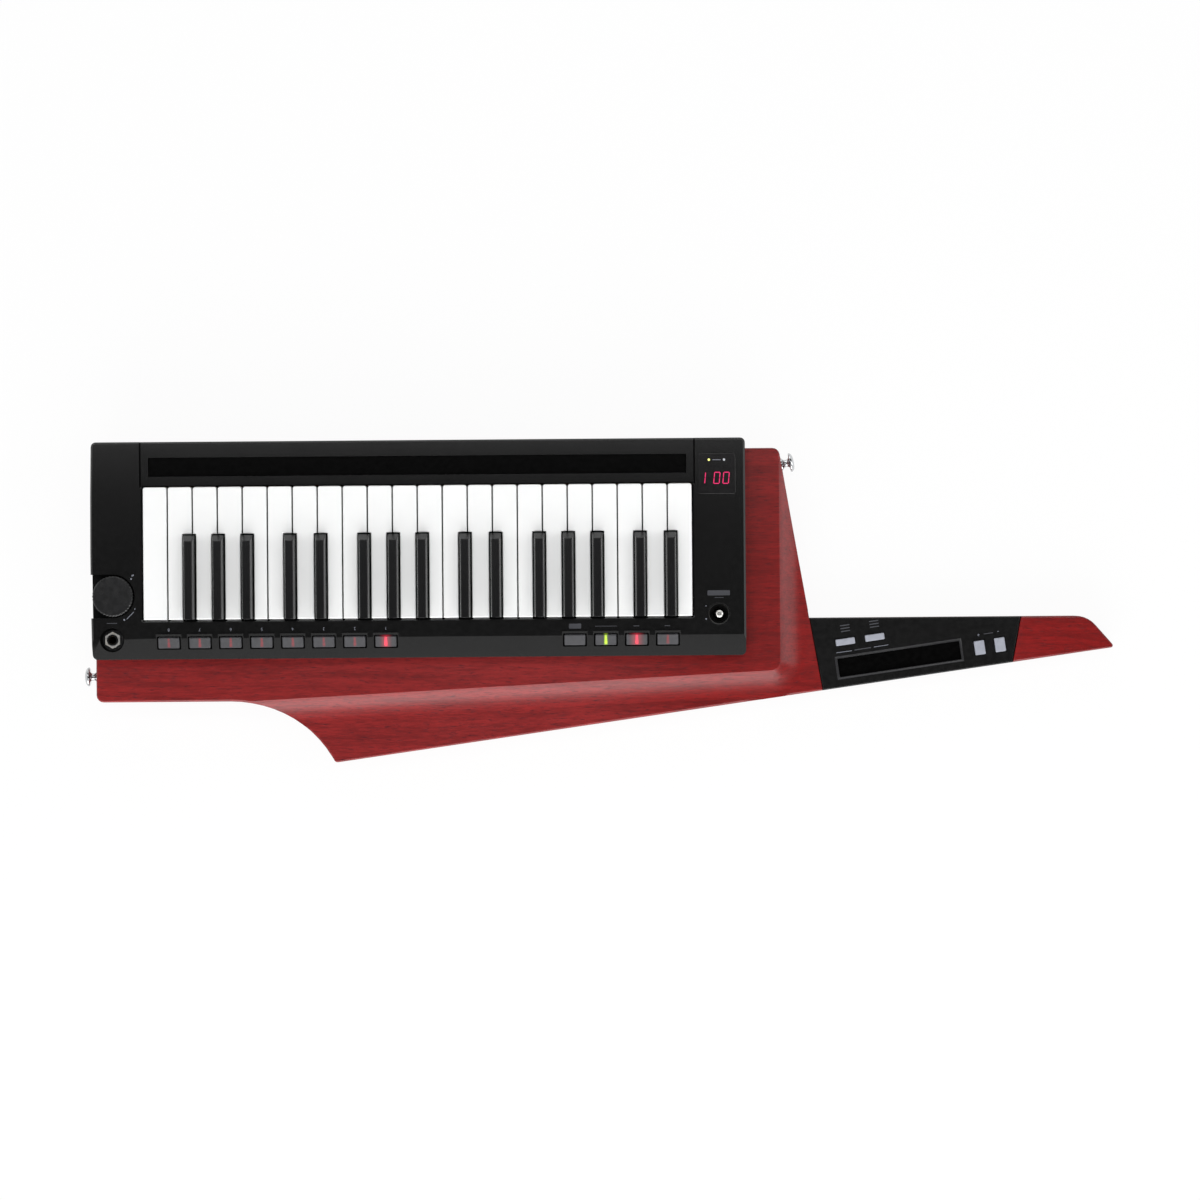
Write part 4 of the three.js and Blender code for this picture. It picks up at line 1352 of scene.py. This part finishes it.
@dataclass
class Keyboard:
    """The white and black keys and the chassis under them.

    Attributes:
        modeller: Makes the pieces.
        whites: The number of white keys.
        blacks: The number of black keys.
        white_edge: The rounding of a white key's edges.
        black_edge: The rounding of a black key's edges.
        sideways: How far along X the normal of a white key's side points, where the side takes
            painted shade.
        frame_inset: How far the chassis stays from the walls round it.
    """

    modeller: Modeller
    whites: int = 22
    blacks: int = 15
    white_edge: float = 0.2 * MM
    black_edge: float = 0.3 * MM
    sideways: float = 0.9
    frame_inset: float = 1.2 * MM

    def build(self) -> None:
        """Builds the keys and the chassis."""
        make = self.modeller
        # The white keys' sides get a near-black finish: painted shade for the gaps between the keys.
        side = (Finish.KEY_SIDE, lambda face: abs(face.normal.x) > self.sideways)
        for number in range(1, self.whites + 1):
            key = f"white_key_{number:02d}"
            make.refined(key, Finish.WHITE_KEY, self.white_edge, accent=side)
        for number in range(1, self.blacks + 1):
            key = f"black_key_{number:02d}"
            make.refined(key, Finish.BLACK_KEY, self.black_edge, sharper=16.0)
        make.refined("key_frame", Finish.CHASSIS, 0.0)
        # A near-black sheet under the chassis: painted shade that shows through the gaps round the
        # keys.
        low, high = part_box("key_frame")
        size = high - low
        reach = 2 * self.frame_inset - 0.4 * MM
        shade_sheet = plate_shape(size.x + reach, size.y + reach, low.z - 0.2 * MM, low.z - 0.1 * MM)
        placed(shade_sheet, Matrix.Translation(((low.x + high.x) / 2, (low.y + high.y) / 2, 0)))
        paint = make.paints.of(Finish.DARK)
        make.finish(shade_sheet, "well_liner", paint, FIXED_BODY, "grey_chassis")


@dataclass
class Case:
    """The moulded front case, its ribbon, display, knob, socket and lever.

    Attributes:
        modeller: Makes the pieces.
        top: The level of the case's top.
        print_height: How thick the printed marks are.
        margin: How far its recesses stay from its ends.
        knob_recess: The radius of the knob's recess, which opens into the end.
        wall_depth: How deep the walls of a recess start.
        floor_depth: How deep the floor of a recess is at least.
        socket_floor: The level of the floor round the headphone socket.
        collar_radius: The radius of the socket's threaded collar.
        thread_pitch: The distance from one turn of its thread to the next.
        figure_size: The width and height of a lit figure.
        figure_slant: How far a lit figure leans, as a share of its height.
        stroke: The width of a lit stroke.
    """

    modeller: Modeller
    top: float = CASE_TOP
    print_height: float = 0.04 * MM
    margin: float = 6 * MM
    knob_recess: float = 19 * MM
    wall_depth: float = 0.25 * MM
    floor_depth: float = 2.5 * MM
    socket_floor: float = 50.0 * MM
    collar_radius: float = 4.7 * MM
    thread_pitch: float = 0.36 * MM
    figure_size: tuple[float, float] = (4.5 * MM, 9.1 * MM)
    figure_slant: float = 0.1
    stroke: float = 0.7 * MM

    def build(self) -> None:
        """Builds the case and what is set in it."""
        make = self.modeller
        # The recesses' walls and floors, and the knob's pocket, are painted near-black as painted
        # shade.
        recess_shade = (Finish.DARK, self._recess_shade_test())
        make.refined("front_case", Finish.CASE, 0.3 * MM, sharper=28.0, accent=recess_shade)
        make.refined("long_ribbon", Finish.FILM, 0.2 * MM)
        self._knob()
        self._socket()
        self._lever()
        self._display()
        self._marks()

    def _recess_shade_test(self) -> FaceTest:
        """The test that finds the walls and floors of the case's recesses, which get painted shade.
        """
        low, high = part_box("front_case")
        knob = middle("volume_knob")

        def is_recessed(face: bmesh.types.BMFace) -> bool:
            """Whether a face is in a recess."""
            place = face.calc_center_median()
            inside = (
                low.x + self.margin < place.x < high.x - self.margin
                and low.y + self.margin / 2 < place.y < high.y - self.margin / 2
            )
            if not inside and (place - knob).xy.length > self.knob_recess:
                return False
            depth = self.floor_depth if face.normal.z > 0.5 else self.wall_depth
            return all(vert.co.z < case_level(vert.co.y) - depth for vert in face.verts)

        return is_recessed

    def _knob(self) -> None:
        """The ribbed knob with rounded edges."""
        self.modeller.refined("volume_knob", Finish.KNOB, 0.18 * MM, sharper=24.0)

    def _socket(self) -> None:
        """The headphone socket: nut, washer, threaded collar and the contact in its bore."""
        make = self.modeller
        centre = middle("phones_jack")
        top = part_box("phones_jack")[1].z
        reach = self.collar_radius
        # The faces within the collar's radius take the near-black painted shade: the shade in the
        # bore, and on the collar.
        collar = (
            Finish.DARK,
            lambda face: all((vert.co - centre).xy.length < reach for vert in face.verts),
        )
        edge = 0.35 * MM
        make.refined("phones_jack", Finish.NICKEL, edge, segments=3, sharper=24.0, accent=collar)
        seat = Matrix.Translation((centre.x, centre.y, 0))
        threads = []
        for index in range(3):
            level = top - 0.35 * MM - self.thread_pitch * index
            ring = [(4.3, -0.14), (4.62, 0.0), (4.3, 0.14)]
            threads.append(turned_shape([(r * MM, level + h * MM) for r, h in ring], 40))
        black = make.paints.of(Finish.SCREW)
        make.finish(placed(joined(threads), seat), "socket_thread", black, FIXED_BODY, "nickel")
        washer = [(4.9, 0.0), (8.6, 0.0), (8.6, 0.18), (8.4, 0.28), (4.9, 0.28), (4.9, 0.0)]
        shape = turned_shape([(r * MM, self.socket_floor + h * MM) for r, h in washer], 48)
        make.finish(placed(shape, seat), "socket_washer", black, FIXED_BODY, "nickel")
        sleeve = [(3.2, -9.0), (3.2, -4.1), (2.9, -3.9), (2.7, -4.2), (2.7, -9.0), (3.2, -9.0)]
        shape = turned_shape([(r * MM, top + h * MM) for r, h in sleeve], 40)
        brass = make.paints.of(Finish.BRASS)
        make.finish(placed(shape, seat), "socket_sleeve", brass, FIXED_BODY, "nickel")

    def _lever(self) -> None:
        """The spring-centred lever in its boot, and the ring round its dimple."""
        make = self.modeller
        make.refined("value_lever", Finish.NICKEL, 0.25 * MM, sharper=24.0)
        centre = middle("value_lever")
        seat = Matrix.Translation((centre.x, centre.y, 0))
        ring = [
            (8.2, 56.95),
            (9.0, 56.95),
            (9.25, 57.0),
            (9.25, 57.1),
            (9.0, 57.2),
            (8.5, 57.15),
            (8.0, 56.9),
            (8.0, 56.6),
            (8.2, 56.95),
        ]
        shape = turned_shape([(r * MM, h * MM) for r, h in ring], 64)
        case = make.paints.of(Finish.CASE)
        make.finish(placed(shape, seat), "lever_ring", case, FIXED_BODY, "black_case")

    def _display(self) -> None:
        """The smoked window with its figures and two lamps."""
        make = self.modeller
        make.refined("display_window", Finish.WINDOW, 0.4 * MM, segments=3)
        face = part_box("display_window")[1].z
        strokes = []
        for x, segments in ((235.5, "bc"), (245.1, "abcdef"), (252.6, "abcdef")):
            strokes += self._figure(x * MM, 56.0 * MM, segments)
        figures = placed(joined(strokes), Matrix.Translation((0, 0, face)))
        red = make.paints.of(Finish.DIGIT)
        make.finish(figures, "display_figures", red, FIXED_BODY, "display_window")
        lamps = (("low", 238.6, Finish.LAMP_YELLOW), ("full", 251.0, Finish.LAMP_WHITE))
        for name, x, finish in lamps:
            lamp = disc_shape(0.95 * MM, face - 0.1 * MM, face + 0.12 * MM, 24, 0.1 * MM)
            placed(lamp, Matrix.Translation((x * MM, 70.9 * MM, 0)))
            paint = make.paints.of(finish)
            make.finish(lamp, f"charge_lamp_{name}", paint, FIXED_BODY, "display_window")

    def _figure(self, x: float, y: float, segments: str) -> list[bmesh.types.BMesh]:
        """The lit strokes of one seven-stroke figure.

        Args:
            x: The middle of the figure.
            y: The middle of the figure.
            segments: The lit strokes: a top, b and c right, d foot, e and f left.

        Returns:
            A shape for each stroke.
        """
        wide, tall = self.figure_size
        places = {
            "a": (0.0, tall / 2, False),
            "b": (wide / 2, tall / 4, True),
            "c": (wide / 2, -tall / 4, True),
            "d": (0.0, -tall / 2, False),
            "e": (-wide / 2, -tall / 4, True),
            "f": (-wide / 2, tall / 4, True),
        }
        shear = Matrix.Identity(4)
        shear[0][1] = self.figure_slant
        made = []
        for letter in segments:
            sx, sy, upright = places[letter]
            if segments == "bc":  # the figure one stands in the middle
                sx = 0.0
            length = (tall / 2 if upright else wide) - 0.35 * MM
            bar = plate_shape(length, self.stroke, -0.02 * MM, 0.05 * MM, self.stroke * 0.45)
            turn = Matrix.Rotation(math.pi / 2 if upright else 0, 4, "Z")
            move = Matrix.Translation((sx, sy, 0))
            made.append(placed(bar, Matrix.Translation((x, y, 0)) @ shear @ move @ turn))
        return made

    def _marks(self) -> None:
        """The printed marks on the flat of the case."""
        bright = [
            self._dot(-240.2, -56.3, 0.75),
            self._dash(-238.3, -55.8, -232.4, -49.9, 0.5),
            self._dot(-231.5, -47.5, 0.5),
            self._dot(-234.4, -22.9, 0.75),
            self._dash(-234.0, -20.6, -232.2, -19.6, 1.1),
            self._dot(235.4, -59.2, 0.62),
            self._dash(234.8, -48.6, 236.0, -48.6, 0.45),
            self._dash(241.5, 70.8, 248.3, 70.8, 0.5),
        ]
        for index in range(PROGRAMS):
            x = FIRST_CAP + CAP_PITCH * index
            figure = text_shape(str(PROGRAMS - index), 2.5 * MM, self.print_height, math.pi)
            bright.append(placed(figure, Matrix.Translation((x, -64.8 * MM, self.top))))
        dim = [
            self._dash(-254.6, -59.1, -246.0, -59.1, 0.55),
            self._label(245.8, -38.0, 18.4, 4.2),
            self._dash(242.4, -41.8, 249.8, -41.8, 0.5),
            self._label(128.2, -64.3, 10.0, 4.1),
            self._dash(144.6, -64.5, 162.4, -64.5, 0.5),
            self._dash(175.9, -64.5, 180.6, -64.5, 0.7),
            self._dash(201.4, -64.5, 205.9, -64.5, 0.7),
        ]
        self.modeller.print_marks("case", "black_case", bright, dim, Matrix.Identity(4))

    def _dot(self, x: float, y: float, radius: float) -> bmesh.types.BMesh:
        """A printed dot, with its place and radius in millimetres."""
        low = self.top - self.print_height
        dot = disc_shape(radius * MM, low, self.top + self.print_height, 20)
        return placed(dot, Matrix.Translation((x * MM, y * MM, 0)))

    def _dash(
        self, x0: float, y0: float, x1: float, y1: float, width: float
    ) -> bmesh.types.BMesh:
        """A printed line between two places, all in millimetres."""
        return printed_line((x0, y0), (x1, y1), width, self.top, self.print_height)

    def _label(self, x: float, y: float, length: float, width: float) -> bmesh.types.BMesh:
        """A bare printed label, with its place and size in millimetres."""
        low = self.top - self.print_height
        high = self.top + self.print_height
        label = plate_shape(length * MM, width * MM, low, high, 0.8 * MM)
        return placed(label, Matrix.Translation((x * MM, y * MM, 0)))


def printed_line(
    start: Place, end: Place, width: float, level: float, height: float
) -> bmesh.types.BMesh:
    """A printed line on a flat surface.

    Args:
        start: Its first end, in millimetres.
        end: Its other end, in millimetres.
        width: Its width, in millimetres.
        level: The level of the surface, in metres.
        height: How thick the print is, in metres.

    Returns:
        The shape.
    """
    run = Vector(end) - Vector(start)
    place = (Vector(end) + Vector(start)) / 2
    wide = width * MM
    line = plate_shape(run.length * MM, wide, level - height, level + height, wide * 0.3)
    turn = Matrix.Rotation(math.atan2(run.y, run.x), 4, "Z")
    return placed(line, Matrix.Translation((place.x * MM, place.y * MM, 0)) @ turn)


@dataclass
class ApronControls:
    """The push buttons on the sloping apron, each with a lamp window.

    Attributes:
        modeller: Makes the pieces.
        angle: The apron's slope.
        crease: Where the slope starts, along Y.
        below: How far down the slope the caps' middles are.
        pitch: The distance from one cap to the next.
        first_program: The first program cap's place along X.
        first_function: The first function cap's place along X.
        red: The colour of a red lamp.
        unlit: The colour of a red lamp that is off.
        green: The colour of a green lamp.
    """

    modeller: Modeller
    angle: float = APRON_ANGLE
    crease: float = CASE_CREASE
    below: float = 3.8 * MM
    pitch: float = CAP_PITCH
    first_program: float = FIRST_CAP
    first_function: float = 127.95 * MM
    red: Colour = field(default_factory=lambda: tint(255, 52, 78))
    unlit: Colour = field(default_factory=lambda: tint(220, 35, 50))
    green: Colour = field(default_factory=lambda: tint(186, 226, 40))

    def build(self) -> None:
        """Builds the comb of eight program caps and the four function caps."""
        middle_y = self.crease - self.below * math.cos(self.angle)
        off = (self.unlit, 0.27, 0.0)
        row = CapLamp(self.first_program, self.pitch, middle_y, *off)
        last = self.first_program + (PROGRAMS - 1) * self.pitch
        lit = CapLamp(last, 0.0, middle_y, self.red, 0.5, 1.0, 6.5 * MM)
        self._cap("program_buttons", (row, lit))
        # The colour, tint, strength and spread of each function cap's lamp
        looks = (None, (self.green, 0.5, 1.0, 3.0 * MM), (self.red, 0.5, 1.0, 8.0 * MM), off)
        for index, look in enumerate(looks):
            x = self.first_function + index * self.pitch
            lamps = (CapLamp(x, 0.0, middle_y, *look),) if look else ()
            self._cap(f"function_button_{index + 1}", lamps)

    def _cap(self, node: str, lamps: tuple[CapLamp, ...]) -> None:
        """Dresses a cap or a comb of caps.

        Args:
            node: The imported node.
            lamps: The lamp strips that shine through it.
        """
        finish = replace(Finish.CAP_GREY.value, name=f"cap_grey_{node}", lamps=lamps)
        sunk = 0.3 * MM
        # The cap's faces sunk below the case get painted shade, for the dark gap round the cap.
        flange_shade = (
            Finish.DARK,
            lambda face: all(vert.co.z < case_level(vert.co.y) - sunk for vert in face.verts),
        )
        self.modeller.refined(node, finish, 0.25 * MM, sharper=24.0, accent=flange_shade)


@dataclass
class Neck:
    """The neck's panel with its ribbon, buttons and printed marks.

    Attributes:
        modeller: Makes the pieces.
        level: The level of the panel.
        turn: The panel's turn about Z.
        shade_sheet: The length and width of the near-black sheet under the ribbon, painted shade for
            the gap round it.
        print_height: How thick the printed marks are.
    """

    modeller: Modeller
    level: float = 24.0 * MM
    turn: float = math.radians(8)
    shade_sheet: tuple[float, float] = (104 * MM, 17.5 * MM)
    print_height: float = 0.04 * MM

    def build(self) -> None:
        """Builds the panel and what is on it."""
        make = self.modeller
        frame_level = self.level + 0.05 * MM
        rim = (Finish.RIBBON_FRAME, lambda face: face.calc_center_median().z > frame_level)
        make.refined("neck_panel", Finish.NECK_PANEL, 0.3 * MM, sharper=28.0, accent=rim)
        make.refined("short_ribbon", Finish.FILM, 0.2 * MM)
        self._shade_sheet()
        sunk = self.level - 0.3 * MM
        # The caps' faces sunk below the panel get painted shade, for the dark gap round each cap.
        flange_shade = (Finish.DARK, lambda face: all(vert.co.z < sunk for vert in face.verts))
        for row in ("ribbon_button", "octave_button"):
            for number in (1, 2):
                cap = f"{row}_{number}"
                make.refined(cap, Finish.CAP_SILVER, 0.25 * MM, sharper=24.0, accent=flange_shade)
        self._marks()

    def _shade_sheet(self) -> None:
        """A near-black sheet under the ribbon: painted shade that shows in the gap round it."""
        ribbon = middle("short_ribbon")
        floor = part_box("neck_panel")[0].z
        length, width = self.shade_sheet
        shade_sheet = plate_shape(length, width, floor - 0.2 * MM, floor - 0.1 * MM)
        seat = Matrix.Translation((ribbon.x, ribbon.y, 0)) @ Matrix.Rotation(self.turn, 4, "Z")
        placed(shade_sheet, seat)
        paint = self.modeller.paints.of(Finish.DARK)
        self.modeller.finish(shade_sheet, "ribbon_liner", paint, FIXED_BODY, "ribbon_film")

    def _marks(self) -> None:
        """The printed line, the bare labels and the signs of the octave buttons.

        Their places are measured from the middle of the ribbon.
        """
        ribbon = middle("short_ribbon")
        seat = Matrix.Translation((ribbon.x, ribbon.y, self.level))
        seat = seat @ Matrix.Rotation(self.turn, 4, "Z")
        height = self.print_height
        bright = [
            printed_line((-50.8, 12.7), (-37.8, 12.6), 0.45, 0.0, height),
            printed_line((-19.5, 12.9), (-7.3, 13.0), 0.45, 0.0, height),
        ]
        for sign, x in (("+", 67.7), ("-", 84.2)):
            figure = text_shape(sign, 3.2 * MM, height, math.pi)
            bright.append(placed(figure, Matrix.Translation((x * MM, 10.3 * MM, 0))))
        dim = [
            printed_line((-35.6, 12.8), (-21.7, 12.9), 0.8, 0.0, height),
            printed_line((72.2, 10.2), (79.8, 10.2), 0.6, 0.0, height),
        ]
        for x in (-40.7, -16.4):
            for row in range(3):
                y = 29.5 + row * 2.4
                dim.append(printed_line((x - 3.9, y), (x + 3.9, y), 0.9, 0.0, height))
        self.modeller.print_marks("neck", "black_panel", bright, dim, seat)


@dataclass(frozen=True)
class Softbox:
    """A studio lamp that lights one point.

    Attributes:
        name: The lamp's name.
        place: Its place.
        size: Its length and width.
        power: Its power in watts.
        target: The point that it faces.
        mirrored: Whether glossy surfaces mirror it.
    """

    name: str
    place: tuple[float, float, float]
    size: tuple[float, float]
    power: float
    target: tuple[float, float, float] = (0.0, -0.05, 0.04)
    mirrored: bool = True

    def build(self) -> None:
        """Hangs the lamp."""
        light = bpy.data.lights.new(self.name, "AREA")
        light.shape = "RECTANGLE"
        light.size, light.size_y = self.size
        light.energy = self.power
        lamp = bpy.data.objects.new(self.name, light)
        bpy.context.scene.collection.objects.link(lamp)
        lamp.location = self.place
        facing = Vector(self.target) - Vector(self.place)
        lamp.rotation_euler = facing.to_track_quat("-Z", "Y").to_euler()
        lamp.visible_camera = False
        lamp.visible_glossy = self.mirrored


@dataclass
class Studio:
    """The pale floor, the soft light and the camera.

    Attributes:
        floor_size: The length of the floor.
        floor_level: The floor's level, just under the back.
        camera_place: The camera's place.
        camera_turn: Its turn about Z.
        lens: Its focal length, in millimetres.
        sensor: The width of its sensor, in millimetres.
        ambient: The brightness of the room.
        floor_share: How much of the floor is white in any light; the rest takes the shadow.
        horizon: How high the pale walls stand, as the sine of their height seen from the middle.
        lamps: The softboxes round the instrument.
    """

    floor_size: float = 30.0
    floor_level: float = -0.3 * MM
    camera_place: tuple[float, float, float] = (0.14876, -0.04311, 2.658)
    camera_turn: float = -0.0079
    lens: float = 95.46
    sensor: float = 36.0
    ambient: float = 0.06
    floor_share: float = 0.93
    horizon: float = 0.26
    lamps: tuple[Softbox, ...] = (
        Softbox("front_softbox", (0.0, 0.25, 0.95), (2.6, 0.16), 3.1, (0.0, 0.15, 0.05)),
        Softbox("front_low_softbox", (0.06, 1.5, 0.75), (1.8, 0.8), 10.6, (0.06, -0.05, 0.04)),
        Softbox("rear_low_softbox", (0.12, -1.6, 0.55), (2.2, 1.0), 33.0, (0.12, -0.05, 0.04)),
        Softbox("rear_middle_softbox", (0.0, -1.28, 1.14), (4.4, 0.4), 9.5),
        Softbox("rear_high_softbox", (0.0, -0.97, 1.41), (4.4, 0.46), 2.9),
        Softbox("right_softbox", (1.9, 0.0, 0.85), (0.8, 1.5), 11.0, (0.3, -0.05, 0.04)),
        Softbox("left_softbox", (-1.7, 0.0, 0.85), (1.5, 1.5), 8.0, (-0.1, -0.05, 0.04)),
        Softbox(
            "top_fill", (0.1, -0.05, 2.0), (1.2, 1.2), 6.5, (0.1, -0.05, 0.04), mirrored=False
        ),
    )

    def build(self) -> None:
        """Builds the floor, the lamps, the room and the camera."""
        self._camera()
        self._floor()
        self._room()
        for lamp in self.lamps:
            lamp.build()
        bpy.context.scene.view_settings.view_transform = "Standard"
        LOG.info("studio with %d lamps", len(self.lamps))

    def _camera(self) -> None:
        """Looks straight down at the instrument."""
        lens = bpy.data.cameras.new("camera")
        lens.lens = self.lens
        lens.sensor_width = self.sensor
        lens.clip_end = 100.0
        camera = bpy.data.objects.new("camera", lens)
        bpy.context.scene.collection.objects.link(camera)
        camera.location = self.camera_place
        camera.rotation_euler = (0, 0, self.camera_turn)
        bpy.context.scene.camera = camera

    def _floor(self) -> None:
        """A pale floor that the camera sees as white, with the instrument's soft shadow."""
        bm = bmesh.new()
        bmesh.ops.create_grid(bm, x_segments=1, y_segments=1, size=self.floor_size / 2)
        bmesh.ops.translate(bm, vec=(0, 0, self.floor_level), verts=bm.verts[:])
        mesh = bpy.data.meshes.new("floor")
        bm.to_mesh(mesh)
        bm.free()
        floor = bpy.data.objects.new("floor", mesh)
        bpy.context.scene.collection.objects.link(floor)
        mesh.materials.append(self._floor_paint())

    def _floor_paint(self) -> bpy.types.Material:
        """Matt white paint that looks white to the camera, to metal and to glass."""
        material, wiring, shader = start_material("floor_white")
        position = wiring.position()
        cloud = wiring.span(wiring.noise(position, 1.5, 2.0), 0.3, 0.7)
        paint = wiring.mix(cloud, (0.88, 0.88, 0.88), (0.9, 0.9, 0.9))
        wiring.feed(shader.inputs["Base Color"], paint)
        shader.inputs["Roughness"].default_value = 0.8
        shader.inputs["Specular IOR Level"].default_value = 0.2
        rays = wiring.node("ShaderNodeLightPath").outputs
        seen = wiring.math("MAXIMUM", rays["Is Camera Ray"], rays["Is Glossy Ray"])
        seen = wiring.math("MAXIMUM", seen, rays["Is Transmission Ray"])
        white = wiring.node("ShaderNodeEmission", {"Color": (1, 1, 1), "Strength": 1.0})
        share = wiring.math("MULTIPLY", seen, self.floor_share)
        mixed = wiring.node("ShaderNodeMixShader", {0: share})
        wiring.feed(mixed.inputs[1], shader.outputs[0])
        wiring.feed(mixed.inputs[2], white.outputs[0])
        leave = material.node_tree.nodes["Material Output"]
        wiring.feed(leave.inputs["Surface"], mixed.outputs[0])
        return material

    def _room(self) -> None:
        """A dim room, white to the camera, with low pale walls that glossy surfaces show."""
        world = bpy.data.worlds.new("room")
        bpy.context.scene.world = world
        world.use_nodes = True
        wiring = Wiring(world.node_tree)
        rays = wiring.node("ShaderNodeLightPath").outputs
        height = wiring.node("ShaderNodeSeparateXYZ", {0: wiring.position()}).outputs["Z"]
        walls = wiring.span(height, self.horizon * 0.3, self.horizon, 1.0, 0.0)
        mirrored = wiring.math("MAXIMUM", rays["Is Glossy Ray"], rays["Is Transmission Ray"])
        pale = wiring.math("MULTIPLY", mirrored, walls)
        seen = wiring.math("MAXIMUM", rays["Is Camera Ray"], pale)
        shade = world.node_tree.nodes["Background"]
        level = (self.ambient, self.ambient, self.ambient * 1.02)
        wiring.feed(shade.inputs["Color"], wiring.mix(seen, level, (1, 1, 1)))
        shade.inputs["Strength"].default_value = 1.0


def main() -> None:
    """Builds the studio and then the keytar's sub-assemblies."""
    logging.basicConfig(level=logging.INFO, format="%(name)s: %(message)s")
    Studio().build()
    modeller = Modeller(Paints(Effects()))
    assemblies = (
        Body(modeller),
        Keyboard(modeller),
        Case(modeller),
        ApronControls(modeller),
        Neck(modeller),
    )
    for assembly in assemblies:
        assembly.build()
        LOG.info("%s done, %d pieces so far", type(assembly).__name__, modeller.count)


if __name__ == "__main__":
    main()
